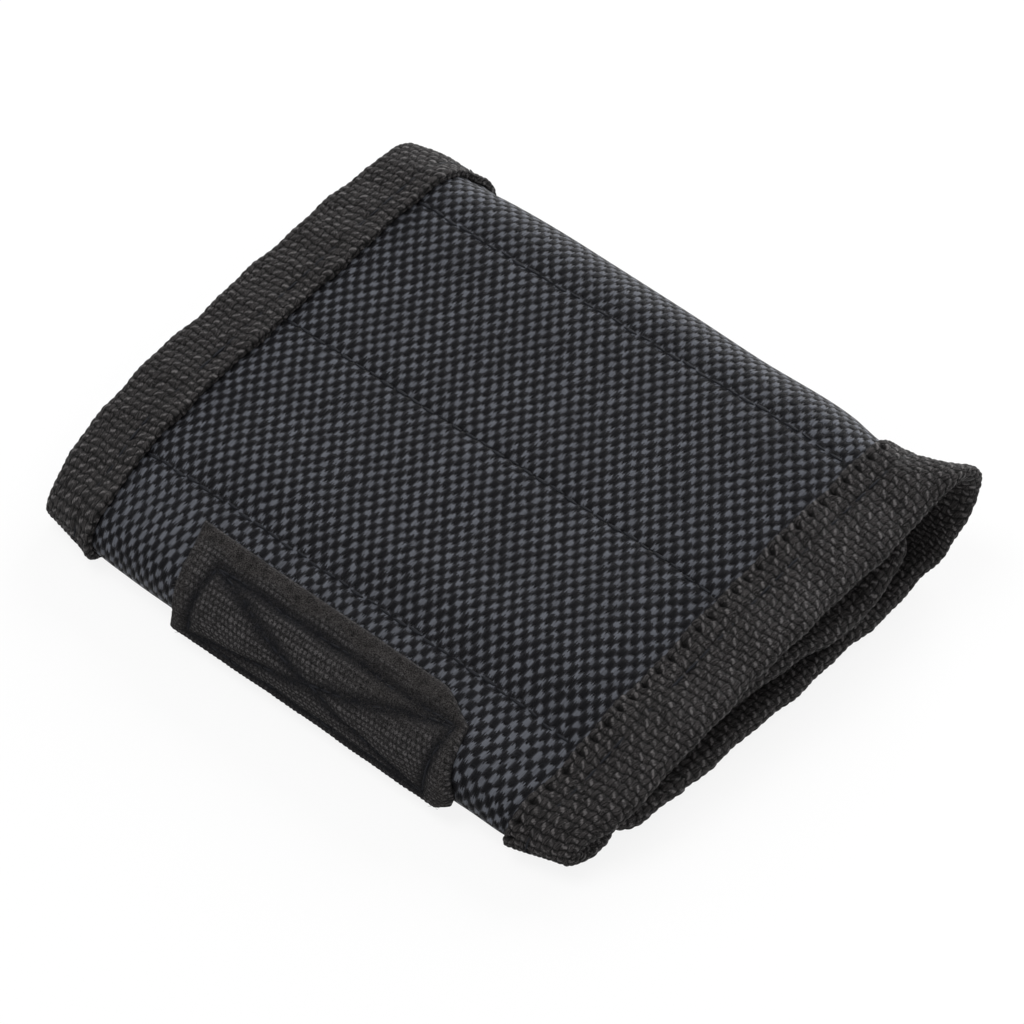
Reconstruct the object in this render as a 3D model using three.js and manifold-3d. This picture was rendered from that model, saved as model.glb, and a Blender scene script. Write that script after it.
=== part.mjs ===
// Magnetic wristband, rolled up flat: a bound nylon band with magnets in sewn pockets.
// Millimetres, +Z up. X runs across the band, -Y is the front, the band rests on Z = 0.
import * as THREE from 'three';
import { mergeVertices } from 'three/addons/utils/BufferGeometryUtils.js';
import Module from 'manifold-3d';

const wasm = await Module();
wasm.setup();

// Band and layers
const BAND_WIDTH = 98;
const CLOTH_THICKNESS = 0.6;
const LINING_THICKNESS = 0.4;
const BINDING_THICKNESS = 0.7;
const BINDING_WIDTH = 11;
const SEWN_CLEARANCE = 0.2;
const END_CORNER_RADIUS = 8;

// Magnets and their pockets
const MAGNET_DIAMETER = 14;
const MAGNET_THICKNESS = 1;
const MAGNET_SPACING = 24;
const MAGNETS_PER_POCKET = 3;
const ROW_PITCH = 26.6;
const ROW_DRAW_IN = 3;
const POCKET_WALL_RUN = 1.2;

// The roll
const FOLD_SPACING = 65;
const BACK_FOLD_RADIUS = 9.4;
const FRONT_FOLD_RADIUS = 4.3;
const HEEL_RADIUS = 2.8;
const HEEL_FLAT = 1.5;
const NECK_ANGLE = 45;
const NECK_RADIUS = 3;
const FLAP_ANGLE = 3.5;
const FLAP_LENGTH = 54.4;
const BOTTOM_REST_RUN = 27;
const BOTTOM_LIFT_RADIUS = 150;
const BOTTOM_LIFT_ANGLE = 6;
const BOTTOM_END_SETBACK = 5.85;
const TURN_CLEARANCE = 0.35;
const BACK_ROW_SETBACK = 2.9;
const HINGE_CLEARANCE = 0.3;

// Closure tapes
const TAPE_WIDTH = 49;
const TAPE_SHIFT = 3.5;
const LOOP_TAPE_THICKNESS = 1.6;
const HOOK_TAPE_THICKNESS = 1;
const HOOK_TAPE_LENGTH = 22;
const HOOK_TAPE_SETBACK = 13;
const LOOP_TAPE_OVERLAP = 1.5;
const TAPE_EDGE_ROUND = 0.5;

// Facets
const ARC_STEP = 15;
const CORNER_STEPS = 4;
const FOLD_EDGE_SEGMENTS = 4;
const MAGNET_SEGMENTS = 24;
const BEVEL_SEGMENTS = 2;

const rad = THREE.MathUtils.degToRad;

// Offsets from the cloth's outer face, outwards positive
const bindingRise = SEWN_CLEARANCE + BINDING_THICKNESS;
const liningSewnTop = -(CLOTH_THICKNESS + SEWN_CLEARANCE);
const liningSewnUnder = liningSewnTop - LINING_THICKNESS;
const bindingUnderTop = liningSewnUnder - SEWN_CLEARANCE;
const bindingUnder = bindingUnderTop - BINDING_THICKNESS;
const pocketDepth = MAGNET_THICKNESS + SEWN_CLEARANCE;
const liningPocketUnder = liningSewnUnder - pocketDepth;
const edgeOuterRadius = (bindingRise - bindingUnder) / 2;
const edgeInnerRadius = edgeOuterRadius - BINDING_THICKNESS;
const edgeCentreN = (bindingRise + bindingUnder) / 2;
const clothHalfWidth = BAND_WIDTH / 2 - edgeOuterRadius;
const bindingInnerX = BAND_WIDTH / 2 - BINDING_WIDTH;
const tapeRise = SEWN_CLEARANCE + LOOP_TAPE_THICKNESS;

// Fold axes: the box of the whole roll is centred on Y = 0
const backReach = BACK_FOLD_RADIUS + bindingRise;
const frontReach = FRONT_FOLD_RADIUS + Math.max(bindingRise, tapeRise);
const backAxis = {
  y: (FOLD_SPACING + frontReach - backReach) / 2,
  z: backReach,
};
const frontAxis = {
  y: backAxis.y - FOLD_SPACING,
  z: FRONT_FOLD_RADIUS + tapeRise,
};

// Tilt of the top turn, a common tangent of the two folds
const axisRise = backAxis.z - frontAxis.z;
const axisDistance = Math.hypot(FOLD_SPACING, axisRise);
const topTilt = Math.atan2(axisRise, FOLD_SPACING)
  + Math.asin((BACK_FOLD_RADIUS - FRONT_FOLD_RADIUS) / axisDistance);
const topLength = Math.sqrt(axisDistance ** 2 - (BACK_FOLD_RADIUS - FRONT_FOLD_RADIUS) ** 2);

// Free end of the bottom turn, which rests flat behind and lifts a little towards the front
const liftAngle = rad(BOTTOM_LIFT_ANGLE);
const bottomEndY = frontAxis.y + HEEL_FLAT + BOTTOM_END_SETBACK;
const freeRun = (backAxis.y - BOTTOM_REST_RUN - BOTTOM_LIFT_RADIUS * Math.sin(liftAngle) - bottomEndY)
  / Math.cos(liftAngle);
const bottomEndZ = bindingRise
  + BOTTOM_LIFT_RADIUS * (1 - Math.cos(liftAngle))
  + freeRun * Math.sin(liftAngle);

// Length of the neck, which lifts the flap clear of the bottom turn's free end
const neckAngle = rad(NECK_ANGLE);
const flapAngle = rad(FLAP_ANGLE);
const flapZAtEnd = bottomEndZ - bindingUnder + TURN_CLEARANCE + bindingRise;
const heelEnd = {
  y: frontAxis.y + HEEL_FLAT + HEEL_RADIUS * Math.sin(neckAngle),
  z: tapeRise + HEEL_RADIUS * (1 - Math.cos(neckAngle)),
};
const neckArc = {
  y: NECK_RADIUS * (Math.sin(neckAngle) - Math.sin(flapAngle)),
  z: NECK_RADIUS * (Math.cos(flapAngle) - Math.cos(neckAngle)),
};
const neckRise = flapZAtEnd - heelEnd.z - neckArc.z
  - (bottomEndY - heelEnd.y - neckArc.y) * Math.tan(flapAngle);
const neckLength = neckRise / (Math.sin(neckAngle) - Math.cos(neckAngle) * Math.tan(flapAngle));

// Route of the cloth's outer face in the YZ plane, from the bottom turn's free end to the flap's
const route = [];
let routeLength = 0;

function addStation(y, z, heading) {
  const last = route[route.length - 1];
  if (last) {
    routeLength += Math.hypot(y - last.y, z - last.z);
  }
  route.push({ y, z, heading, s: routeLength });
}

function addLine(length) {
  const from = route[route.length - 1];
  addStation(
    from.y + length * Math.cos(from.heading),
    from.z + length * Math.sin(from.heading),
    from.heading,
  );
  return routeLength;
}

function addArc(radius, angle) {
  const from = route[route.length - 1];
  const side = Math.sign(angle);
  const steps = Math.max(2, Math.ceil(Math.abs(angle) / rad(ARC_STEP)));
  const centreY = from.y - side * radius * Math.sin(from.heading);
  const centreZ = from.z + side * radius * Math.cos(from.heading);
  for (let i = 1; i <= steps; i += 1) {
    const heading = from.heading + (angle * i) / steps;
    addStation(
      centreY + side * radius * Math.sin(heading),
      centreZ - side * radius * Math.cos(heading),
      heading,
    );
  }
  return routeLength;
}

addStation(bottomEndY, bottomEndZ, -liftAngle);
addLine(freeRun);
addArc(BOTTOM_LIFT_RADIUS, liftAngle);
const backFoldStart = addLine(BOTTOM_REST_RUN);
const backFoldEnd = addArc(BACK_FOLD_RADIUS, Math.PI + topTilt);
const frontFoldStart = addLine(topLength);
addArc(FRONT_FOLD_RADIUS, Math.PI - topTilt);
const heelFlatEnd = addLine(HEEL_FLAT);
addArc(HEEL_RADIUS, neckAngle);
addLine(neckLength);
const flapStart = addArc(NECK_RADIUS, flapAngle - neckAngle);
const bandEnd = addLine(FLAP_LENGTH);

// Sewn rows, counted along the route from the row at the back of the top turn
const backRow = backFoldEnd + BACK_ROW_SETBACK;
const middleRow = backRow + ROW_PITCH;
const frontRow = middleRow + ROW_PITCH;

function stationAt(s) {
  const i = Math.max(1, route.findIndex((station) => station.s >= s));
  const a = route[i - 1];
  const b = route[i];
  const t = (s - a.s) / (b.s - a.s);
  const heading = a.heading + t * (b.heading - a.heading);
  return { y: a.y + t * (b.y - a.y), z: a.z + t * (b.z - a.z), heading, s };
}

// Stations of one stretch: the route's own, both ends, and any extra ones asked for
function stretch(from, to, extra = []) {
  const tiny = 0.05;
  const known = [...route.map((station) => station.s), ...extra];
  const inside = known.filter((s) => s > from + tiny && s < to - tiny);
  const all = [from, ...inside.sort((a, b) => a - b), to];
  return all.filter((s, i) => i === 0 || s - all[i - 1] > tiny).map(stationAt);
}

// Drawing a cross-section, X across the band and N outwards, along a stretch of the route
function alongRoute(section, stations, shape = (x, n) => [x, n]) {
  const steps = stations.length - 1;
  const geometry = new THREE.ExtrudeGeometry(section, {
    depth: 1,
    steps,
    bevelEnabled: false,
    curveSegments: FOLD_EDGE_SEGMENTS,
  });
  geometry.deleteAttribute('normal');
  geometry.deleteAttribute('uv');
  const position = geometry.getAttribute('position');
  for (let i = 0; i < position.count; i += 1) {
    const station = stations[Math.round(position.getZ(i) * steps)];
    const [x, n] = shape(position.getX(i), position.getY(i), station.s);
    position.setXYZ(
      i,
      x,
      station.y + n * Math.sin(station.heading),
      station.z - n * Math.cos(station.heading),
    );
  }
  return mergeVertices(geometry, 1e-4);
}

// Round plan corners of a free end: the half width left at a distance from it
function cornerHalfWidth(distance, half, radius) {
  if (distance >= radius) {
    return half;
  }
  return half - radius + Math.sqrt(Math.max(0, radius ** 2 - (radius - distance) ** 2));
}

function cornerStations(end, inwards, radius) {
  const shares = Array.from({ length: CORNER_STEPS }, (unused, i) => (i + 1) / CORNER_STEPS);
  return shares.map((share) => end + inwards * radius * (1 - Math.cos((share * Math.PI) / 2)));
}

function polygon(points) {
  return new THREE.Shape(points.map(([x, n]) => new THREE.Vector2(x, n)));
}

// Cloth: a flat sheet; its free ends stop inside the end bindings
const sheetCornerRadius = END_CORNER_RADIUS - edgeOuterRadius;

function freeEndShape(freeEnd) {
  return (x, n, s) => {
    if (freeEnd === undefined) {
      return [x, n];
    }
    const half = cornerHalfWidth(Math.abs(freeEnd - s), clothHalfWidth, sheetCornerRadius);
    return [THREE.MathUtils.clamp(x, -half, half), n];
  };
}

function freeEndStations(freeEnd, inwards) {
  return freeEnd === undefined ? [] : cornerStations(freeEnd, inwards, sheetCornerRadius);
}

function clothGeometry(from, to, freeEnd, inwards) {
  const section = polygon([
    [-clothHalfWidth, -CLOTH_THICKNESS],
    [clothHalfWidth, -CLOTH_THICKNESS],
    [clothHalfWidth, 0],
    [-clothHalfWidth, 0],
  ]);
  return alongRoute(section, stretch(from, to, freeEndStations(freeEnd, inwards)), freeEndShape(freeEnd));
}

// Lining: lies against the cloth at the edges and rows, and drops away between them for the magnets
const pocketHalfWidth = bindingInnerX - SEWN_CLEARANCE;

function pocketShare(s, sewn) {
  const distance = Math.min(...sewn.map((row) => Math.abs(s - row)));
  return THREE.MathUtils.clamp(distance / ROW_DRAW_IN, 0, 1);
}

function liningGeometry(from, to, pockets, freeEnd, inwards) {
  const floorHalf = pocketHalfWidth - POCKET_WALL_RUN;
  const upperHalf = pocketHalfWidth - LINING_THICKNESS;
  const section = polygon([
    [-clothHalfWidth, liningSewnUnder],
    [-pocketHalfWidth, liningSewnUnder],
    [-floorHalf, liningPocketUnder],
    [floorHalf, liningPocketUnder],
    [pocketHalfWidth, liningSewnUnder],
    [clothHalfWidth, liningSewnUnder],
    [clothHalfWidth, liningSewnTop],
    [upperHalf, liningSewnTop],
    [floorHalf - LINING_THICKNESS, liningPocketUnder + LINING_THICKNESS],
    [LINING_THICKNESS - floorHalf, liningPocketUnder + LINING_THICKNESS],
    [-upperHalf, liningSewnTop],
    [-clothHalfWidth, liningSewnTop],
  ]);
  const trim = freeEndShape(freeEnd);
  const inPocket = (s) => pockets.some(([a, b]) => s > a && s < b);
  const drop = (x, n, s) => {
    const share = inPocket(s) ? pocketShare(s, pockets.flat()) : 0;
    const isFloor = Math.abs(x) <= floorHalf + SEWN_CLEARANCE / 2;
    return trim(x, isFloor ? n + (1 - share) * pocketDepth : n, s);
  };
  const steps = pockets.flatMap(([a, b]) => [a, a + ROW_DRAW_IN, b - ROW_DRAW_IN, b]);
  return alongRoute(section, stretch(from, to, [...steps, ...freeEndStations(freeEnd, inwards)]), drop);
}

// Binding of a long edge: webbing folded round the cloth and lining
function bindingSection(side) {
  const centreX = clothHalfWidth;
  const shape = new THREE.Shape();
  shape.moveTo(bindingInnerX, bindingUnder);
  shape.lineTo(centreX, bindingUnder);
  shape.absarc(centreX, edgeCentreN, edgeOuterRadius, -Math.PI / 2, Math.PI / 2, false);
  shape.lineTo(bindingInnerX, bindingRise);
  shape.lineTo(bindingInnerX, SEWN_CLEARANCE);
  shape.lineTo(centreX, SEWN_CLEARANCE);
  shape.absarc(centreX, edgeCentreN, edgeInnerRadius, Math.PI / 2, -Math.PI / 2, true);
  shape.lineTo(bindingInnerX, bindingUnderTop);
  shape.closePath();
  const points = shape.extractPoints(FOLD_EDGE_SEGMENTS).shape;
  return new THREE.Shape(points.map((point) => new THREE.Vector2(side * point.x, point.y)));
}

function bindingGeometry(side, from, to) {
  return alongRoute(bindingSection(side), stretch(from, to));
}

// Closed mesh to solid and back, for the hollow of an end binding
function toSolid(geometry) {
  const merged = mergeVertices(geometry, 1e-4);
  return new wasm.Manifold(new wasm.Mesh({
    numProp: 3,
    vertProperties: new Float32Array(merged.getAttribute('position').array),
    triVerts: new Uint32Array(merged.index.array),
  }));
}

function toGeometry(solid) {
  const mesh = solid.getMesh();
  const geometry = new THREE.BufferGeometry();
  geometry.setAttribute('position', new THREE.BufferAttribute(new Float32Array(mesh.vertProperties), 3));
  geometry.setIndex(new THREE.BufferAttribute(new Uint32Array(mesh.triVerts), 1));
  return geometry;
}

// Plan of a free end, X across and Y inwards from the end, with round outer corners
function endPlan(inset, depth, radius) {
  const half = BAND_WIDTH / 2 - inset;
  const shape = new THREE.Shape();
  shape.moveTo(-half, depth);
  shape.lineTo(-half, inset + radius);
  shape.absarc(-half + radius, inset + radius, radius, Math.PI, 1.5 * Math.PI, false);
  shape.lineTo(half - radius, inset);
  shape.absarc(half - radius, inset + radius, radius, 1.5 * Math.PI, 2 * Math.PI, false);
  shape.lineTo(half, depth);
  shape.closePath();
  return shape;
}

function extrudePlan(shape, low, high, bevel) {
  const geometry = new THREE.ExtrudeGeometry(shape, {
    depth: high - low - 2 * bevel,
    curveSegments: CORNER_STEPS,
    bevelEnabled: bevel > 0,
    bevelSize: bevel,
    bevelThickness: bevel,
    bevelOffset: -bevel,
    bevelSegments: BEVEL_SEGMENTS,
  });
  geometry.deleteAttribute('normal');
  geometry.deleteAttribute('uv');
  geometry.translate(0, 0, low + bevel);
  return geometry;
}

function endBindingGeometry() {
  const outer = toSolid(extrudePlan(
    endPlan(0, BINDING_WIDTH, END_CORNER_RADIUS),
    bindingUnder,
    bindingRise,
    BINDING_THICKNESS,
  ));
  const inset = BINDING_THICKNESS;
  const hollow = toSolid(extrudePlan(
    endPlan(inset, 2 * BINDING_WIDTH, END_CORNER_RADIUS - inset),
    bindingUnderTop,
    SEWN_CLEARANCE,
    0,
  ));
  return toGeometry(outer.subtract(hollow));
}

// Loop tape of the closure, wrapped round the front fold down to the heel
function loopTapeSection() {
  const low = SEWN_CLEARANCE;
  const high = tapeRise;
  const left = TAPE_SHIFT - TAPE_WIDTH / 2;
  const right = TAPE_SHIFT + TAPE_WIDTH / 2;
  return polygon([
    [left, low],
    [right, low],
    [right, high - TAPE_EDGE_ROUND],
    [right - TAPE_EDGE_ROUND, high],
    [left + TAPE_EDGE_ROUND, high],
    [left, high - TAPE_EDGE_ROUND],
  ]);
}

// Hook tape: lies on the lining of the bottom turn
function hookTapeGeometry() {
  const high = liningPocketUnder - SEWN_CLEARANCE;
  const low = high - HOOK_TAPE_THICKNESS;
  const section = polygon([
    [TAPE_SHIFT - TAPE_WIDTH / 2, low],
    [TAPE_SHIFT + TAPE_WIDTH / 2, low],
    [TAPE_SHIFT + TAPE_WIDTH / 2, high],
    [TAPE_SHIFT - TAPE_WIDTH / 2, high],
  ]);
  return alongRoute(section, stretch(HOOK_TAPE_SETBACK, HOOK_TAPE_SETBACK + HOOK_TAPE_LENGTH));
}

// Materials
const material = (color, roughness, metalness = 0) => () => new THREE.MeshStandardMaterial({
  color,
  roughness,
  metalness,
});
const nylon = material(0x2b2c2f, 0.75);
const webbing = material(0x2a2826, 0.9);
const liningCloth = material(0x1c1c1e, 0.85);
const pile = material(0x221f1d, 1);
const steel = material(0xb4b6b9, 0.35, 1);

const wristband = new THREE.Group();

function piece(name, geometry, makeMaterial, parent) {
  const mesh = new THREE.Mesh(geometry, makeMaterial());
  mesh.name = name;
  parent.add(mesh);
  return mesh;
}

// A group set on the route, its X across the band, its Y along the route and its Z outwards
function routeGroup(s, turned) {
  const station = stationAt(s);
  const group = new THREE.Group();
  const along = new THREE.Vector3(0, Math.cos(station.heading), Math.sin(station.heading));
  const out = new THREE.Vector3(0, Math.sin(station.heading), -Math.cos(station.heading));
  const inwards = turned ? along.clone().negate() : along;
  const across = new THREE.Vector3().crossVectors(inwards, out);
  group.setRotationFromMatrix(new THREE.Matrix4().makeBasis(across, inwards, out));
  group.position.set(0, station.y, station.z);
  return group;
}

function addMagnets(prefix, centres, parent) {
  centres.forEach((s, pocket) => {
    const seat = routeGroup(s, false);
    for (let i = 0; i < MAGNETS_PER_POCKET; i += 1) {
      const radius = MAGNET_DIAMETER / 2;
      const disc = new THREE.CylinderGeometry(radius, radius, MAGNET_THICKNESS, MAGNET_SEGMENTS);
      const magnet = piece(`${prefix}_magnet_${pocket + 1}_${i + 1}`, disc, steel, seat);
      magnet.rotation.x = Math.PI / 2;
      magnet.position.set(
        (i - (MAGNETS_PER_POCKET - 1) / 2) * MAGNET_SPACING,
        0,
        -CLOTH_THICKNESS - SEWN_CLEARANCE - MAGNET_THICKNESS / 2,
      );
    }
    parent.add(seat);
  });
}

// One body of the band: cloth, lining, both long bindings and magnets
function addTurn(name, from, to, pockets, magnets, freeEnd) {
  const turn = new THREE.Group();
  const startsFree = freeEnd === 'start';
  const endsFree = freeEnd === 'end';
  const sheetFrom = startsFree ? from + edgeOuterRadius : from;
  const sheetTo = endsFree ? to - edgeOuterRadius : to;
  const edge = startsFree ? sheetFrom : sheetTo;
  const trimmed = freeEnd ? edge : undefined;
  const inwards = startsFree ? 1 : -1;
  const bindingFrom = startsFree ? from + BINDING_WIDTH + SEWN_CLEARANCE : from;
  const bindingTo = endsFree ? to - BINDING_WIDTH - SEWN_CLEARANCE : to;
  piece(`${name}_cloth`, clothGeometry(sheetFrom, sheetTo, trimmed, inwards), nylon, turn);
  piece(`${name}_lining`, liningGeometry(sheetFrom, sheetTo, pockets, trimmed, inwards), liningCloth, turn);
  piece(`${name}_binding_left`, bindingGeometry(-1, bindingFrom, bindingTo), webbing, turn);
  piece(`${name}_binding_right`, bindingGeometry(1, bindingFrom, bindingTo), webbing, turn);
  if (freeEnd) {
    const seat = routeGroup(startsFree ? from : to, endsFree);
    piece(`${name}_end_binding`, endBindingGeometry(), webbing, seat);
    turn.add(seat);
  }
  addMagnets(name, magnets, turn);
  wristband.add(turn);
  return turn;
}

const mid = (a, b) => (a + b) / 2;
const [bottomRow, underRow, foldRow, flapRow] = [-3, -2, -1, 4].map((i) => backRow + i * ROW_PITCH);
const endPocketEdge = bandEnd - BINDING_WIDTH;
const halfHinge = HINGE_CLEARANCE / 2;

const bottomTurn = addTurn(
  'bottom',
  0,
  backRow - halfHinge,
  [[bottomRow, underRow], [underRow, foldRow], [foldRow, backRow - halfHinge]],
  [mid(bottomRow, underRow), mid(underRow, backFoldStart)],
  'start',
);
addTurn(
  'top',
  backRow + halfHinge,
  frontRow - halfHinge,
  [[backRow + halfHinge, middleRow], [middleRow, frontRow - halfHinge]],
  [mid(backRow, middleRow), mid(middleRow, frontRow)],
);
const flapTurn = addTurn(
  'flap',
  frontRow + halfHinge,
  bandEnd,
  [[flapStart, flapRow], [flapRow, endPocketEdge]],
  [mid(flapStart, flapRow), mid(flapRow, endPocketEdge)],
  'end',
);

piece(
  'closure_loop_tape',
  alongRoute(loopTapeSection(), stretch(frontFoldStart - LOOP_TAPE_OVERLAP, heelFlatEnd)),
  pile,
  flapTurn,
);
piece('closure_hook_tape', hookTapeGeometry(), pile, bottomTurn);

export default wristband;
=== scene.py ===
"""Looks of a rolled-up magnetic wristband: woven cloth, webbing bindings, closure tape and stitching."""

import math

import bpy
import numpy as np
from mathutils import Matrix, Vector


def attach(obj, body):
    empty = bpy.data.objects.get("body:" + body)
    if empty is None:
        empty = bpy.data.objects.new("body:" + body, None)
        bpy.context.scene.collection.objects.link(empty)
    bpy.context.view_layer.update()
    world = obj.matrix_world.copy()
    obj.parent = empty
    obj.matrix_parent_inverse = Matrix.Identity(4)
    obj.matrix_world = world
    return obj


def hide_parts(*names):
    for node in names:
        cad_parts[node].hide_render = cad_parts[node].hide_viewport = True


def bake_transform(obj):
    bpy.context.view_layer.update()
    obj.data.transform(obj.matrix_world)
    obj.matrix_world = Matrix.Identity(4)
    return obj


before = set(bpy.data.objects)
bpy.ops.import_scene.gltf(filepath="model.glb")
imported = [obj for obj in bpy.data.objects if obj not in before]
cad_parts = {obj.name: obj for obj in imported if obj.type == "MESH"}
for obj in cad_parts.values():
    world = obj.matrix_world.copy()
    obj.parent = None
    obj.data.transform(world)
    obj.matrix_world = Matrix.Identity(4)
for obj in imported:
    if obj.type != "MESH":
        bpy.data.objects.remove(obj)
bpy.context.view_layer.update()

bl_info = {
    "name": "Rolled wristband",
    "version": (1, 0, 0),
    "blender": (4, 5, 0),
    "location": "View3D > Sidebar > Wristband",
    "description": "Builds the cloth, bindings, closure and stitching of a rolled magnetic wristband",
    "category": "Object",
}

MM = 0.001
UV_PER_MM = 0.01


def smooth(a, b, t):
    """Smooth step of t from a to b."""
    k = np.clip((np.asarray(t, dtype=float) - a) / (b - a), 0.0, 1.0)
    return k * k * (3 - 2 * k)


def bell(t, width):
    """Bell curve of t, 1 at zero."""
    return np.exp(-((t / width) ** 2))


def steps(a, b, size):
    """Evenly spaced values from a to b, about size apart."""
    return np.linspace(a, b, max(2, int(round(abs(b - a) / size)) + 1))


# The band's route: the outer face of the nylon in the YZ plane, in millimetres


class Route:
    """Lines and arcs, one after another, from a place and a heading."""

    def __init__(self, y, z, heading):
        self.legs = []
        self.end = (y, z, heading)
        self.length = 0.0

    def line(self, length):
        y, z, h = self.end
        self.legs.append((self.length, y, z, h, 0.0))
        self.end = (y + length * math.cos(h), z + length * math.sin(h), h)
        self.length += length
        return self.length

    def arc(self, radius, angle):
        y, z, h = self.end
        bend = math.copysign(1.0 / radius, angle)
        self.legs.append((self.length, y, z, h, bend))
        k = h + angle
        self.end = (y + (math.sin(k) - math.sin(h)) / bend, z - (math.cos(k) - math.cos(h)) / bend, k)
        self.length += radius * abs(angle)
        return self.length

    def at(self, s):
        """Place and heading at the distances s along the route."""
        s = np.asarray(s, dtype=float)
        legs = np.array(self.legs)
        leg = legs[np.clip(np.searchsorted(legs[:, 0], s, side="right") - 1, 0, len(legs) - 1)]
        run = s - leg[..., 0]
        bend = leg[..., 4]
        h0 = leg[..., 3]
        h = h0 + bend * run
        curved = np.abs(bend) > 1e-9
        safe = np.where(curved, bend, 1.0)
        y = leg[..., 1] + np.where(curved, (np.sin(h) - np.sin(h0)) / safe, run * np.cos(h0))
        z = leg[..., 2] + np.where(curved, -(np.cos(h) - np.cos(h0)) / safe, run * np.sin(h0))
        return y, z, h


HALF_WIDTH = 49.0
END_CORNER = 5.5
BACK_RADIUS = 9.4
FRONT_RADIUS = 4.3
RADIUS_STEP = BACK_RADIUS - FRONT_RADIUS
FOLD_SPAN = 65.0
FOLD_RISE = 4.2
TOP_TILT = math.atan2(FOLD_RISE, FOLD_SPAN) + math.asin(RADIUS_STEP / math.hypot(FOLD_SPAN, FOLD_RISE))
TOP_LENGTH = math.sqrt(FOLD_SPAN**2 + FOLD_RISE**2 - RADIUS_STEP**2)
BOTTOM_START = (-27.25, 3.2952)
LIFT = math.radians(6.0)
LIFT_RADIUS = 150.0
LIFTED_LENGTH = 15.05
FLAT_LENGTH = 27.0
HEEL_LENGTH = 1.5
HEEL_RADIUS = 2.8
NECK = math.radians(45.0)
NECK_LENGTH = 4.57
NECK_RADIUS = 3.0
FLAP = math.radians(3.5)
FLAP_LENGTH = 54.4

# From the bottom turn's free end, round both folds, to the flap's free end
ROUTE = Route(*BOTTOM_START, -LIFT)
ROUTE.line(LIFTED_LENGTH)
ROUTE.arc(LIFT_RADIUS, LIFT)
ROUTE.line(FLAT_LENGTH)
BACK_FOLD_END = ROUTE.arc(BACK_RADIUS, math.pi + TOP_TILT)
FRONT_FOLD_START = ROUTE.line(TOP_LENGTH)
ROUTE.arc(FRONT_RADIUS, math.pi - TOP_TILT)
ROUTE.line(HEEL_LENGTH)
ROUTE.arc(HEEL_RADIUS, NECK)
ROUTE.line(NECK_LENGTH)
FLAP_START = ROUTE.arc(NECK_RADIUS, FLAP - NECK)
BAND_END = ROUTE.line(FLAP_LENGTH)

ROW_PITCH = 26.6
BACK_ROW_STEP = 2.9
FRONT_ROW_STEP = 0.9
BACK_ROW = BACK_FOLD_END + BACK_ROW_STEP
MIDDLE_ROW = BACK_ROW + ROW_PITCH
FRONT_ROW = MIDDLE_ROW + ROW_PITCH + FRONT_ROW_STEP
FOLD_ROW = BACK_ROW - ROW_PITCH
UNDER_ROW = FOLD_ROW - ROW_PITCH
BOTTOM_ROW = UNDER_ROW - ROW_PITCH
NECK_ROW = MIDDLE_ROW + 2 * ROW_PITCH
FLAP_ROW = NECK_ROW + ROW_PITCH
SEWN_ROWS = (BOTTOM_ROW, UNDER_ROW, FOLD_ROW, BACK_ROW, MIDDLE_ROW, FRONT_ROW, NECK_ROW, FLAP_ROW)

# Four stretches of the band, cut at sewn rows
STRETCHES = {
    "bottom": (0.0, FOLD_ROW),
    "back": (FOLD_ROW, MIDDLE_ROW),
    "front": (MIDDLE_ROW, NECK_ROW),
    "flap": (NECK_ROW, BAND_END),
}
# The turn of the band whose solids each stretch stands for
TURN_OF = {"bottom": "bottom", "back": "top", "front": None, "flap": "flap"}


def follow(piece, stretch):
    """Ties a piece to the turn of the band that carries it; pieces of the back and front stretches stay
    where they are made.
    """
    if stretch == "bottom":
        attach(piece, "bottom")
    elif stretch == "flap":
        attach(piece, "flap")
    elif stretch == "back":
        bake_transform(piece)
    elif stretch == "front":
        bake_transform(piece)
    else:
        raise ValueError(f"no stretch of the band is called {stretch}")


def span(stretch, margin):
    """Where a stretch starts and ends, margin inside the band's free ends."""
    low, high = STRETCHES[stretch]
    if stretch == "bottom":
        low = low + margin
    if stretch == "flap":
        high = high - margin
    return low, high


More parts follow.
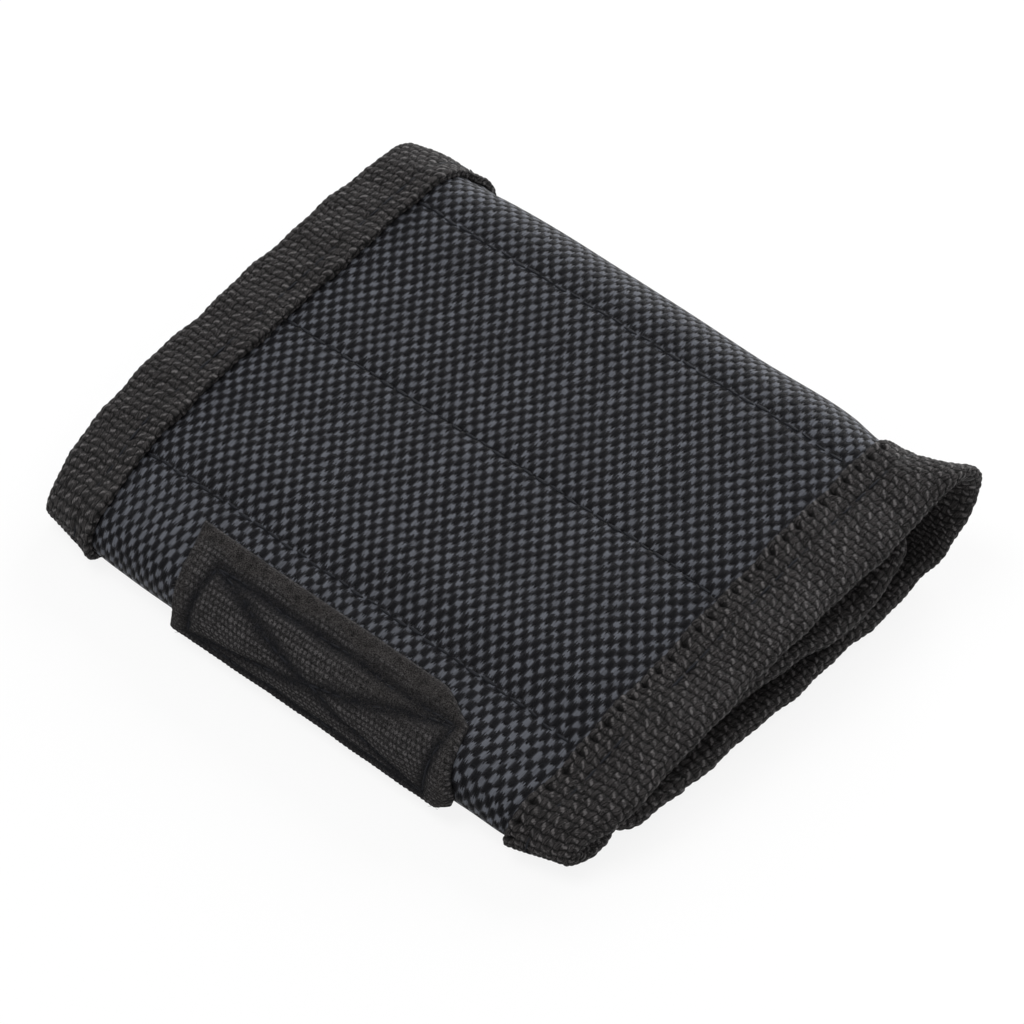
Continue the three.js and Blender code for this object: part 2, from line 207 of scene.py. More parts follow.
# How far the soft roll settles away from the drawn route, in millimetres, at places across the band.
# On the bottom turn and the back fold a value counts outward, and past the back fold it counts upward.
SETTLE_ACROSS = (-49.0, -43.0, -38.0, -30.0, -11.0, 14.0, 31.0, 38.0, 43.0, 49.0)
SETTLE_ALONG = (
    (0.0, (0, 0, 0, 0, 0, 0, 0, 0, -0.1, -0.2)),
    (14.0, (0, 0, 0, 0, 0, 0, 0, 0, -0.4, -0.8)),
    (40.0, (0, 0, 0, 0, 0, 0, 0, 0, -0.5, -0.9)),
    (50.0, (0, 0, 0, 0, 0, 0, 0, -0.1, -0.5, -0.9)),
    (56.5, (-0.2, -0.1, 0, 0, 0, 0, -0.1, -0.8, -1.4, -1.8)),
    (62.0, (-0.5, -0.4, -0.3, -0.2, -0.2, -0.3, -0.7, -1.6, -1.9, -2.0)),
    (66.5, (0.0, 0.1, 0.0, -0.3, -0.3, -0.6, -1.0, -1.9, -2.1, -2.0)),
    (72.5, (0.7, 1.0, 1.1, -0.2, -0.5, -1.0, -1.4, -2.4, -1.4, 0.9)),
    (78.4, (-1.5, -0.3, -0.8, -0.6, -0.8, -1.5, -1.9, -3.2, -2.4, 0.2)),
    (82.4, (-1.5, -0.6, -0.6, -0.5, -0.6, -1.0, -1.5, -2.5, -2.4, -1.4)),
    (87.3, (-1.4, -0.7, -0.2, -0.3, -0.3, -0.4, -0.7, -1.7, -2.5, -3.2)),
    (91.5, (-1.2, -0.6, 0.0, 0, 0, 0, -0.2, -1.2, -2.4, -3.6)),
    (102.0, (-0.8, -0.3, 0, 0, 0, 0, 0, -0.9, -2.1, -3.3)),
    (115.0, (-0.8, -0.3, 0, 0, 0, 0, -0.2, -1.1, -1.6, -2.0)),
    (121.0, (-0.9, -0.4, -0.1, 0, 0, 0, -0.2, -1.4, -1.8, -2.0)),
    (134.0, (-1.3, -0.8, -0.4, 0, 0, 0, 0, -1.7, -2.2, -2.4)),
    (138.5, (-1.8, -1.1, -0.7, 0, 0, 0, -0.3, -2.0, -2.4, -2.6)),
    (145.5, (-2.8, -1.7, -1.0, -0.6, -0.7, -1.0, -1.6, -2.8, -3.0, -3.1)),
    (150.0, (-3.4, -2.4, -1.5, -1.0, -1.1, -1.3, -2.1, -3.4, -3.8, -3.9)),
    (155.0, (-3.9, -2.9, -2.0, -1.6, -1.6, -1.7, -2.3, -3.7, -4.2, -4.3)),
    (159.7, (-3.2, -2.6, -2.1, -2.0, -2.0, -2.0, -2.2, -2.6, -2.8, -2.8)),
    (163.2, (-1.0, -1.0, -1.2, -1.5, -1.6, -1.6, -1.4, -1.1, -0.9, -0.8)),
    (166.5, (0, 0, -0.2, -0.6, -0.8, -0.8, -0.6, -0.3, 0, 0)),
    (171.0, (-0.3, -0.2, 0, 0, 0, 0, 0, -0.1, -0.4, -0.5)),
    (176.9, (-1.0, -0.7, -0.2, 0, 0, 0, 0, -0.5, -1.2, -1.3)),
    (188.5, (-0.6, -0.4, -0.1, 0, 0, 0, 0, -0.3, -0.9, -1.0)),
    (206.9, (-0.3, -0.2, 0, 0, 0, 0, 0, -0.4, -1.4, -1.8)),
    (217.4, (-0.3, -0.2, 0, 0, 0, 0, 0, -0.5, -1.9, -2.9)),
    (226.0, (-0.2, -0.1, 0, 0, 0, 0, 0, -0.4, -1.2, -1.8)),
    (231.3, (0, 0, 0, 0, 0, 0, 0, 0, -0.2, -0.3)),
)
# How far the nose of the front fold stands forward of the drawn route at the same places across
NOSE_REACH = (-0.7, 0.7, 1.4, 1.7, 1.6, 1.4, 1.2, 1.2, 0.4, -1.2)
CORNER_LEAN = 4.6
LEFT_DRAWN_IN = 2.6
RIGHT_DRAWN_IN = 2.2
WAVE_HEIGHT = 0.07
REST_SOFTNESS = 0.24
FLAP_CURL = 1.2
FLAP_BOW = 0.7


def through(keys, values, t):
    """Smooth curve through values, the last axis, at the keys."""
    keys = np.asarray(keys, dtype=float)
    i = np.clip(np.searchsorted(keys, t, side="right") - 1, 0, len(keys) - 2)
    slopes = np.gradient(values, keys, axis=-1)
    step = keys[i + 1] - keys[i]
    k = np.clip((t - keys[i]) / step, 0.0, 1.0)

    def pick(row, j):
        return np.take_along_axis(np.broadcast_to(row, t.shape + (len(keys),)), j[..., None], -1)[..., 0]

    ends = (2 * k**3 - 3 * k**2 + 1) * pick(values, i) + (3 * k**2 - 2 * k**3) * pick(values, i + 1)
    tangents = (k**3 - 2 * k**2 + k) * pick(slopes, i) + (k**3 - k**2) * pick(slopes, i + 1)
    return ends + tangents * step


def settle(x, s):
    """How far the roll has settled at x across and s along it."""
    rows = [row[0] for row in SETTLE_ALONG]
    columns = np.array([row[1] for row in SETTLE_ALONG], dtype=float).T
    return through(SETTLE_ACROSS, np.stack([through(rows, column, s) for column in columns], axis=-1), x)


def lean(x, s):
    """How far the front fold, and the right-hand corner of the bottom end, lean forward."""
    nose = through(SETTLE_ACROSS, np.array(NOSE_REACH), x) * smooth(147, 157, s) * (1 - smooth(165, 176, s))
    return nose + CORNER_LEAN * smooth(15, 49, x) * (1 - smooth(0, 30, s))


def inset(x, s):
    """How far the band's edges are drawn in at the front fold and along the front of the flap."""
    left = LEFT_DRAWN_IN * smooth(-20, -38, x) * smooth(141, 159, s) * (1 - smooth(164, 176, s))
    beyond = smooth(FLAP_START + 18, FLAP_START + 40, s)
    right = RIGHT_DRAWN_IN * smooth(36, 49, x) * smooth(146, 158, s) * (1 - beyond)
    return left - right


def waves(x, s):
    """Slow unevenness of soft cloth, about a fifth of a millimetre."""
    return WAVE_HEIGHT * (
        np.sin(0.071 * x + 0.113 * s + 0.6)
        + np.sin(-0.13 * x + 0.057 * s + 2.1)
        + 0.7 * np.sin(0.21 * x + 0.19 * s + 4.0)
    )


def rested(z):
    """Height of soft cloth that flattens where it lies on the ground."""
    return 0.5 * (z + np.sqrt(z * z + REST_SOFTNESS**2))


def flap_bow(s):
    """Where the flap bows outward before its free end, 0 to 1."""
    return bell(s - (BAND_END - 16), 8.0)


def place(x, s, n):
    """Point on the band, metres: x across it, s along it, n out from the nylon's face."""
    x, s, n = np.broadcast_arrays(np.asarray(x, float), np.asarray(s, float), np.asarray(n, float))
    y, z, h = ROUTE.at(s)
    upward = smooth(BACK_FOLD_END - 8, BACK_FOLD_END + 6, s)
    drop = settle(x, s)
    curl = smooth(BAND_END - 14, BAND_END + 1, s) * FLAP_CURL - FLAP_BOW * flap_bow(s)
    n = n + waves(x, s) + drop * (1 - upward) - np.where(s > FLAP_START, curl, 0.0)
    z = rested(z - n * np.cos(h) + drop * upward)
    return np.stack([x + inset(x, s), y - lean(x, s) + n * np.sin(h), z], axis=-1) * MM


# Meshes


def new_piece(name, mesh, material):
    piece = bpy.data.objects.new(name, mesh)
    bpy.context.scene.collection.objects.link(piece)
    mesh.materials.append(material)
    return piece


def loop_mesh(name, points, uv, **attributes):
    """Closed skin of rows of points: each row is a closed loop, and both end loops are capped."""
    rows, cols = points.shape[:2]
    mesh = bpy.data.meshes.new(name)
    i, j = np.meshgrid(np.arange(rows - 1), np.arange(cols), indexing="ij")
    k = (j + 1) % cols
    this_row, next_row = i * cols, (i + 1) * cols
    quads = np.stack([this_row + j, next_row + j, next_row + k, this_row + k], axis=-1).reshape(-1, 4)
    caps = [np.arange(cols), (rows - 1) * cols + np.arange(cols)[::-1]]
    verts = points.reshape(-1, 3)
    mesh.vertices.add(len(verts))
    mesh.vertices.foreach_set("co", verts.astype(np.float32).ravel())
    index = np.concatenate([quads.ravel(), caps[0], caps[1]]).astype(np.int32)
    totals = np.concatenate([np.full(len(quads), 4), [cols, cols]]).astype(np.int32)
    starts = np.concatenate([[0], np.cumsum(totals)[:-1]]).astype(np.int32)
    mesh.loops.add(len(index))
    mesh.loops.foreach_set("vertex_index", index)
    mesh.polygons.add(len(totals))
    mesh.polygons.foreach_set("loop_start", starts)
    mesh.polygons.foreach_set("loop_total", totals)
    mesh.update(calc_edges=True)
    smooth_faces = np.ones(len(totals), dtype=bool)
    smooth_faces[-2:] = False
    mesh.polygons.foreach_set("use_smooth", smooth_faces)
    layer = mesh.uv_layers.new(name="cloth")
    layer.data.foreach_set("uv", uv.reshape(-1, 2)[index].astype(np.float32).ravel())
    for key, values in attributes.items():
        marks = mesh.attributes.new(key, "FLOAT", "POINT")
        marks.data.foreach_set("value", values.astype(np.float32).ravel())
    mesh.validate()
    return mesh


def both_sides(face, back):
    """Columns of a sheet's face, then those of its back on the way round to the start."""
    return np.concatenate([face, back[:, ::-1]], axis=1)


def sheet_mesh(name, put, x, s, face, back, **attributes):
    """Closed sheet laid by put at x and s, between the heights of its face and its back."""
    xs, ss = both_sides(x, x), both_sides(s, s)
    uv = np.stack([xs * UV_PER_MM, ss * UV_PER_MM], axis=-1)
    return loop_mesh(name, put(xs, ss, both_sides(face, back)), uv, **attributes)


# Materials


class Nodes:
    """Small helper that adds and wires the nodes of one tree."""

    def __init__(self, tree):
        self.tree = tree
        tree.nodes.clear()

    def add(self, kind, inputs=None, **settings):
        node = self.tree.nodes.new(kind)
        for key, value in settings.items():
            setattr(node, key, value)
        for key, value in (inputs or {}).items():
            self.put(value, node.inputs[key])
        return node

    def put(self, value, socket):
        if isinstance(value, bpy.types.NodeSocket):
            self.tree.links.new(value, socket)
        else:
            socket.default_value = value

    def feed(self, node, *values):
        """Puts the values on a node's first inputs, and gives its first output."""
        for value, socket in zip(values, node.inputs):
            self.put(value, socket)
        return node.outputs[0]

    def math(self, operation, *values):
        return self.feed(self.add("ShaderNodeMath", operation=operation), *values)

    def times(self, product, *factors):
        for factor in factors:
            product = self.math("MULTIPLY", product, factor)
        return product


class Shader(Nodes):
    """Nodes of one finish, with its Principled shader."""

    def __init__(self, name):
        self.material = bpy.data.materials.new(name)
        self.material.use_nodes = True
        super().__init__(self.material.node_tree)
        self.skin = self.add("ShaderNodeBsdfPrincipled")
        self.out = self.add("ShaderNodeOutputMaterial", {"Surface": self.skin.outputs["BSDF"]})

    def ramp(self, value, a, b, low=0.0, high=1.0):
        node = self.add("ShaderNodeMapRange", interpolation_type="SMOOTHSTEP")
        return self.feed(node, value, a, b, low, high)

    def vector(self, x, y, z=0.0):
        return self.feed(self.add("ShaderNodeCombineXYZ"), x, y, z)

    def mix(self, share, a, b):
        return self.add("ShaderNodeMix", {0: share, 6: a, 7: b}, data_type="RGBA").outputs[2]

    def blend_value(self, share, a, b):
        return self.add("ShaderNodeMix", {0: share, 2: a, 3: b}, data_type="FLOAT").outputs[0]

    def noise(self, vector, scale, detail=2.0, roughness=0.5):
        inputs = {"Vector": vector, "Scale": scale, "Detail": detail, "Roughness": roughness}
        return self.add("ShaderNodeTexNoise", inputs).outputs["Fac"]

    def cell_noise(self, vector):
        node = self.add("ShaderNodeTexWhiteNoise", {"Vector": vector}, noise_dimensions="3D")
        return node.outputs["Value"]

    def attribute(self, name):
        return self.add("ShaderNodeAttribute", attribute_name=name).outputs["Fac"]

    def object_place(self):
        return self.add("ShaderNodeTexCoord").outputs["Object"]

    def cloth_mm(self):
        """Cloth coordinates in millimetres: across the band and along it."""
        uv = self.add("ShaderNodeUVMap", uv_map="cloth")
        parts = self.add("ShaderNodeSeparateXYZ", {0: uv.outputs[0]})
        return [self.times(parts.outputs[i], 1 / UV_PER_MM) for i in range(2)]

    def bump(self, height, distance, strength):
        inputs = {"Height": height, "Distance": distance, "Strength": strength}
        return self.add("ShaderNodeBump", inputs).outputs[0]

    def finish(self, **sockets):
        for name, value in sockets.items():
            self.put(value, self.skin.inputs[name.replace("_", " ")])
        return self.material


def rgba(colour):
    return (colour[0], colour[1], colour[2], 1.0)


def plain_weave(sh, across, along, pitch_across, pitch_along, wander, fray):
    """Plain weave: which yarn is on top, place within its float, its crown and a number for each float."""
    drift = sh.noise(sh.vector(across, along), 0.3, 1.0)
    drift_two = sh.noise(sh.vector(along, across, 7.0), 0.3, 1.0)
    u = sh.math("DIVIDE", across, pitch_across)
    v = sh.math("DIVIDE", along, pitch_along)
    u = sh.math("MULTIPLY_ADD", sh.math("SUBTRACT", drift, 0.5), wander, u)
    v = sh.math("MULTIPLY_ADD", sh.math("SUBTRACT", drift_two, 0.5), wander, v)
    fibre = sh.math("FLOOR", sh.times(u, 7.0))
    row = sh.math("FLOOR", sh.math("ADD", v, 0.5))
    ragged = sh.cell_noise(sh.vector(fibre, row, 3.0))
    v = sh.math("MULTIPLY_ADD", sh.math("SUBTRACT", ragged, 0.5), fray, v)
    iu = sh.math("FLOOR", u)
    iv = sh.math("FLOOR", v)
    lengthwise = sh.math("FLOORED_MODULO", sh.math("ADD", iu, iv), 2.0)
    a, b = (sh.math("ABSOLUTE", sh.math("MULTIPLY_ADD", sh.math("FRACT", t), 2.0, -1.0)) for t in (u, v))
    a2, b2 = (sh.times(t, t) for t in (a, b))
    round_a, round_b = (
        sh.math("SQRT", sh.math("MAXIMUM", sh.math("SUBTRACT", 1.02, t), 0.0)) for t in (a2, b2)
    )
    crown_long = sh.times(round_a, sh.math("MULTIPLY_ADD", b2, -0.5, 1.0))
    crown_cross = sh.times(round_b, sh.math("MULTIPLY_ADD", a2, -0.5, 1.0))
    crown = sh.blend_value(lengthwise, crown_cross, crown_long)
    luck = sh.cell_noise(sh.vector(iu, iv, 1.0))
    return {"long": lengthwise, "a": a, "b": b, "crown": crown, "luck": luck, "u": u, "v": v}


def nylon_finish(colours, sizes):
    """Coarse ballistic nylon: a painted sheen lights the lengthwise floats, which end raggedly; the cross
    floats stay dark.
    """
    sh = Shader("ballistic_nylon")
    across, along = sh.cloth_mm()
    pitches = (sizes.nylon_pitch_across / MM, sizes.nylon_pitch_along / MM)
    yarn = plain_weave(sh, across, along, *pitches, 0.4, 0.4)
    u, v = yarn["u"], yarn["v"]
    bent = sh.attribute("bent")
    streak_long = sh.noise(sh.vector(sh.times(u, 9.0), sh.times(v, 0.6)), 1.0, 2.0, 0.6)
    streak_cross = sh.noise(sh.vector(sh.times(u, 0.6), sh.times(v, 9.0), 3.0), 1.0, 2.0, 0.6)
    worn = sh.noise(sh.vector(across, along, 9.0), 0.09, 2.0)
    # Painted sheen at the folds: the lit part of each lengthwise float reaches further along it.
    reach = sh.math("MULTIPLY_ADD", bent, -0.2, yarn["b"])
    # Painted sheen: the share of each lengthwise float that takes the light colour, fading to the shade tone
    # at its sides and ragged ends.
    lit = sh.times(
        sh.ramp(yarn["a"], 1.0, 0.62),
        sh.ramp(reach, 0.78, 0.46),
        sh.ramp(streak_long, 0.28, 0.72, 0.5, 1.3),
        sh.math("MULTIPLY_ADD", yarn["luck"], 0.3, 0.78),
        sh.ramp(worn, 0.3, 0.7, 0.88, 1.08),
    )
    light = sh.mix(lit, rgba(colours.nylon_shade), rgba(colours.nylon_painted_sheen))
    dim = sh.times(sh.ramp(yarn["a"], 0.4, 1.0), sh.ramp(streak_cross, 0.3, 0.75, 0.3, 1.2))
    dark = sh.mix(dim, rgba(colours.nylon_dark), rgba(colours.nylon_shade))
    # Painted glint: at the folds, streaks of the cross floats take a little of the light colour.
    painted_glint = sh.times(bent, sh.ramp(streak_cross, 0.45, 0.65, 0.0, 0.05))
    dark = sh.mix(painted_glint, dark, rgba(colours.nylon_painted_sheen))
    streaks = sh.blend_value(yarn["long"], streak_cross, streak_long)
    height = sh.math("MULTIPLY_ADD", streaks, 0.22, yarn["crown"])
    return sh.finish(
        Base_Color=sh.mix(yarn["long"], dark, light),
        Roughness=sh.blend_value(yarn["long"], 0.6, 0.45),
        Normal=sh.bump(height, 0.0002, 0.9),
        Specular_IOR_Level=0.035,
        Sheen_Weight=0.1,
        Sheen_Roughness=0.3,
    )


def webbing_finish(colours, sizes):
    """Coarse webbing: matt warp floats with painted glints, weft floats with a painted highlight on the
    crest, and painted shade in the hollows between the yarns.
    """
    sh = Shader("binding_webbing")
    across, along = sh.cloth_mm()
    pitches = (sizes.webbing_pitch_across / MM, sizes.webbing_pitch_along / MM)
    yarn = plain_weave(sh, across, along, *pitches, 0.0, 0.14)
    u, v = yarn["u"], yarn["v"]
    gap, light, highlight_tone = (
        rgba(colour) for colour in (colours.webbing_hollow, colours.webbing_light, colours.webbing_painted_highlight)
    )
    twist_warp = sh.math("MULTIPLY_ADD", v, 2.5, sh.times(u, 7.0))
    twist_weft = sh.math("MULTIPLY_ADD", u, 2.5, sh.times(v, 7.0))
    fibre_warp = sh.noise(sh.vector(twist_warp, v), 1.0, 2.0, 0.6)
    fibre_weft = sh.noise(sh.vector(u, twist_weft, 5.0), 1.0, 2.0, 0.6)
    # Warp floats: painted shade toward their sides and ends, with fibre streaks and random tone.
    tone = sh.times(
        sh.ramp(yarn["a"], 1.1, 0.5),
        sh.ramp(yarn["b"], 1.0, 0.6, 0.5, 1.0),
        sh.ramp(fibre_warp, 0.36, 0.64, 0.15, 1.4),
        sh.math("MULTIPLY_ADD", yarn["luck"], 0.5, 0.72),
    )
    # Painted glints: small bright specks on the warp floats.
    painted_specks = sh.noise(sh.vector(sh.times(u, 2.4), sh.times(v, 3.4), 2.0), 1.0, 2.0, 0.6)
    warp = sh.mix(sh.ramp(painted_specks, 0.56, 0.7, 0.0, 0.7), sh.mix(tone, gap, light), highlight_tone)
    # Painted highlight: a slanting bright stroke along the crest of each weft float.
    tilt = sh.math("MULTIPLY_ADD", sh.math("FRACT", u), -0.9, -0.55)
    side = sh.math("MULTIPLY_ADD", sh.math("FRACT", v), 2.0, tilt)
    crest = sh.times(
        sh.ramp(sh.math("ABSOLUTE", side), 0.5, 0.08),
        sh.ramp(yarn["a"], 1.05, 0.7),
        sh.ramp(fibre_weft, 0.34, 0.6, 0.15, 1.15),
        sh.math("MULTIPLY_ADD", yarn["luck"], 0.9, 0.4),
    )
    # Painted shade toward the ends of each weft float.
    ground = sh.mix(sh.ramp(yarn["b"], 1.0, 0.5, 0.0, 0.45), gap, light)
    woven = sh.mix(yarn["long"], sh.mix(crest, ground, highlight_tone), warp)
    fibre = sh.blend_value(yarn["long"], fibre_weft, fibre_warp)
    # The hollow attribute paints shade into the gaps, grooves and pits.
    return sh.finish(
        Base_Color=sh.mix(sh.attribute("hollow"), woven, gap),
        Roughness=sh.blend_value(yarn["long"], 0.5, 0.75),
        Normal=sh.bump(fibre, 0.00018, 0.9),
        Specular_IOR_Level=0.07,
    )


def lining_finish(colours):
    """Plain black lining cloth with a fine weave."""
    sh = Shader("lining_cloth")
    yarn = plain_weave(sh, *sh.cloth_mm(), 0.5, 0.5, 0.3, 0.1)
    # Painted shade: each yarn darkens toward its sides, with some random tone.
    tone = sh.times(sh.ramp(yarn["crown"], 0.3, 1.0), sh.math("MULTIPLY_ADD", yarn["luck"], 0.5, 0.6))
    colour = sh.mix(tone, rgba(colours.nylon_dark), rgba(colours.lining))
    bumps = sh.bump(yarn["crown"], 0.0001, 0.7)
    return sh.finish(Base_Color=colour, Roughness=0.75, Normal=bumps, Specular_IOR_Level=0.1)


def pile_finish(colours):
    """Loop tape: a fine knit ground with painted shade in its hollows, brownish where the pile is raised and
    dark along the sewing.
    """
    sh = Shader("loop_tape_knit")
    across, along = sh.cloth_mm()
    relief, fuzz, seam = (sh.attribute(name) for name in ("relief", "fuzz", "seam"))
    gap = rgba(colours.webbing_hollow)
    lint = sh.noise(sh.vector(across, along), 0.9, 4.0, 0.75)
    fibre = sh.noise(sh.vector(across, along, 6.0), 6.0, 3.0, 0.7)
    # Painted shade: the knit ground darkens where its relief is low, in the hollows of the knit and along
    # the stitched dips.
    tone = sh.times(
        sh.ramp(relief, 0.05, 0.8, 0.22, 1.0),
        sh.ramp(fibre, 0.34, 0.68, 0.12, 1.5),
        sh.ramp(lint, 0.3, 0.7, 0.65, 1.25),
    )
    ground = sh.mix(tone, gap, rgba(colours.pile))
    tuft = sh.times(sh.ramp(fibre, 0.36, 0.64), sh.ramp(lint, 0.34, 0.62, 0.25, 1.2))
    hairy = sh.mix(tuft, gap, rgba(colours.lint))
    sewn_tone = sh.mix(sh.ramp(fibre, 0.25, 0.75), gap, rgba(colours.thread))
    colour = sh.mix(sh.times(fuzz, 0.85), ground, hairy)
    colour = sh.mix(sh.times(seam, sh.ramp(lint, 0.35, 0.6, 0.3, 1.0)), colour, sewn_tone)
    bumps = sh.bump(fibre, 0.0003, 1.0)
    return sh.finish(Base_Color=colour, Roughness=0.85, Normal=bumps, Specular_IOR_Level=0.06)


def thread_finish(name, colour):
    """Sewing thread or pile fibre with the turns of its plies."""
    sh = Shader(name)
    twist = sh.noise(sh.object_place(), 5200.0, 2.0)
    tone = sh.mix(sh.ramp(twist, 0.3, 0.7), rgba([c * 0.5 for c in colour]), rgba(colour))
    bumps = sh.bump(twist, 0.00006, 0.6)
    return sh.finish(Base_Color=tone, Roughness=0.6, Normal=bumps, Specular_IOR_Level=0.1)


def magnet_finish(colours):
    """Nickel-plated magnet steel with fine marks."""
    sh = Shader("nickel_plate")
    marks = sh.noise(sh.object_place(), 3000.0, 3.0)
    tone = sh.mix(marks, rgba([c * 0.85 for c in colours.nickel]), rgba(colours.nickel))
    return sh.finish(Base_Color=tone, Metallic=1.0, Roughness=sh.ramp(marks, 0.2, 0.8, 0.25, 0.4))


def finish_of(name, make, *values):
    """The finish of that name, made once."""
    return bpy.data.materials.get(name) or make(*values)


# Sizes and colours a user would change


def length_property(name, description, default):
    return bpy.props.FloatProperty(name=name, description=description, default=default, unit="LENGTH")


def colour_property(name, description, default):
    return bpy.props.FloatVectorProperty(
        name=name, description=description, default=default, subtype="COLOR", size=3, min=0.0, max=1.0
    )


class WristbandSizes(bpy.types.PropertyGroup):
    nylon_pitch_across: length_property("Nylon pitch across", "Width of a float across the band", 1.01 * MM)
    nylon_pitch_along: length_property("Nylon pitch along", "Length of a float along the band", 1.23 * MM)
    binding_width: length_property("Binding width", "Width of the folded webbing on each face", 11.0 * MM)
    binding_relief: length_property("Binding relief", "Height of the webbing's yarns", 0.42 * MM)
    webbing_pitch_across: length_property("Webbing pitch across", "Yarn pitch across the webbing", 0.87 * MM)
    webbing_pitch_along: length_property("Webbing pitch along", "Yarn pitch along the webbing", 1.25 * MM)
    pile_density: bpy.props.FloatProperty(
        name="Pile density", description="Fibres on a square metre of raised pile", default=8.0e6
    )
    pile_length: length_property("Pile length", "Length of one fibre of the raised pile", 0.6 * MM)
    thread_width: length_property("Thread width", "Diameter of the sewing thread", 0.38 * MM)


class WristbandColours(bpy.types.PropertyGroup):
    # Painted sheen: the colour of the lengthwise floats where they catch the light.
    nylon_painted_sheen: colour_property("Nylon light", "Lengthwise floats of the nylon", (0.108, 0.114, 0.132))
    nylon_shade: colour_property("Nylon shade", "Sides of the nylon's floats", (0.020, 0.020, 0.023))
    nylon_dark: colour_property("Nylon dark", "Cross floats of the nylon", (0.006, 0.006, 0.007))
    webbing_light: colour_property("Webbing light", "Warp floats of the webbing", (0.042, 0.039, 0.039))
    # Painted highlight: the crests of the weft floats and the glints on the warp floats.
    webbing_painted_highlight: colour_property("Webbing crest", "Crests of the weft floats", (0.118, 0.111, 0.112))
    # Painted shade: the gaps between the yarns and the hollows of the knit, also the dark end of the fibre
    # streaks.
    webbing_hollow: colour_property("Webbing hollow", "Gaps between the yarns", (0.003, 0.003, 0.003))
    lining: colour_property("Lining", "Lining cloth", (0.022, 0.022, 0.024))
    pile: colour_property("Pile", "Knit ground of the loop tape", (0.120, 0.114, 0.116))
    lint: colour_property("Lint", "Raised pile of the loop tape", (0.074, 0.068, 0.066))
    thread: colour_property("Thread", "Sewing thread", (0.016, 0.017, 0.021))
    nickel: colour_property("Nickel", "Plating of the magnets", (0.72, 0.72, 0.7))


def sizes_and_colours(context):
    return context.scene.wristband_sizes, context.scene.wristband_colours


# Cloth


END_ALLOWANCE = 1.6
CORNER_ALLOWANCE = 1.4
NYLON_THICKNESS = 0.6
LINING_GAP = 0.8
LINING_THICKNESS = 0.3
POCKET_DEPTH = 1.22
FLAP_POCKET_EXTRA = 0.6
CREASE_DEPTH = 0.24
CREASE_WIDTH = 0.6
HOLLOW_DEPTH = 0.1
HOLLOW_WIDTH = 2.4
# Spacing of a sheet's mesh along the band, and its columns across
NYLON_GRID = (0.5, 96)
LINING_GRID = (0.9, 72)


def row_dip(s):
    """Depth to which the sewn rows draw the nylon in: a crease at each row and a hollow round it."""
    return sum(
        CREASE_DEPTH * bell(s - row, CREASE_WIDTH) + HOLLOW_DEPTH * bell(s - row, HOLLOW_WIDTH)
        for row in SEWN_ROWS
    )


def sheet_half(s, stretch):
    """Half width of the sheet, rounded off inside the end bindings."""
    corner = END_CORNER - CORNER_ALLOWANCE
    gap = np.full_like(s, corner)
    if stretch == "bottom":
        gap = s - END_ALLOWANCE
    elif stretch == "flap":
        gap = BAND_END - END_ALLOWANCE - s
    gap = np.clip(gap, 0.0, corner)
    return HALF_WIDTH - END_ALLOWANCE - corner + np.sqrt(np.maximum(corner**2 - (corner - gap) ** 2, 0.0))


def sheet_grid(stretch, size, columns):
    """Places across and along one stretch of a sheet, about size apart along it."""
    along = steps(*span(stretch, END_ALLOWANCE), size)
    x = np.linspace(-1.0, 1.0, columns) * sheet_half(along, stretch)[:, None]
    return x, np.broadcast_to(along[:, None], x.shape)


def add_sheet(stretch, mesh, finish, kind):
    """One stretch of nylon or lining, placed by follow, with the model's part for its turn hidden, where it
    has one.
    """
    piece = new_piece(mesh.name, mesh, finish)
    follow(piece, stretch)
    if TURN_OF[stretch]:
        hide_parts(f"{TURN_OF[stretch]}_{kind}")


class WRISTBAND_OT_cloth(bpy.types.Operator):
    """Makes the nylon of the four stretches of the band"""

    bl_idname = "wristband.cloth"
    bl_label = "Nylon cloth"

    def execute(self, context):
        sizes, colours = sizes_and_colours(context)
        nylon = nylon_finish(colours, sizes)
        for name in STRETCHES:
            x, s = sheet_grid(name, *NYLON_GRID)
            dip = row_dip(s)
            # Painted sheen by place: the floats are painted lighter from the front row to the front fold,
            # and on a band at the back fold.
            front = smooth(FRONT_ROW, FRONT_ROW + 3, s)
            bent = front * (1 - smooth(FRONT_FOLD_START, FRONT_FOLD_START + 4, s))
            bent = bent + 0.6 * bell(s - BACK_FOLD_END + 5, 5.0)
            back = -NYLON_THICKNESS - 0.3 * dip
            mesh = sheet_mesh(f"nylon_{name}", place, x, s, -dip, back, bent=both_sides(bent, bent))
            add_sheet(name, mesh, nylon, "cloth")
        return {"FINISHED"}


def pocket_room(x, s):
    """How far the lining drops away from the nylon to make room for the magnets, 0 to 1."""
    drawn_up = np.array([*SEWN_ROWS, 4.0, BAND_END - 4.0])
    nearest = np.min(np.abs(s[..., None] - drawn_up), axis=-1)
    room = smooth(0.3, 4.0, nearest) * (1 - smooth(33.0, 37.5, np.abs(x)))
    in_fold = smooth(FRONT_ROW - 2, FRONT_ROW + 2, s) * (1 - smooth(FLAP_START, FLAP_START + 4, s))
    return room * (1 - in_fold) * smooth(10.5, 13.5, np.minimum(s, BAND_END - s))


class WRISTBAND_OT_lining(bpy.types.Operator):
    """Makes the lining, which is drawn up to the nylon at each sewn row"""

    bl_idname = "wristband.lining"
    bl_label = "Lining"

    def execute(self, context):
        cloth = lining_finish(context.scene.wristband_colours)
        for name in STRETCHES:
            x, s = sheet_grid(name, *LINING_GRID)
            depth = POCKET_DEPTH + np.where(s > FLAP_START, FLAP_POCKET_EXTRA, 0.0) * flap_bow(s)
            near = -LINING_GAP - depth * pocket_room(x, s)
            mesh = sheet_mesh(f"lining_{name}", place, x, s, near, near - LINING_THICKNESS)
            add_sheet(name, mesh, cloth, "lining")
        return {"FINISHED"}


# Bindings


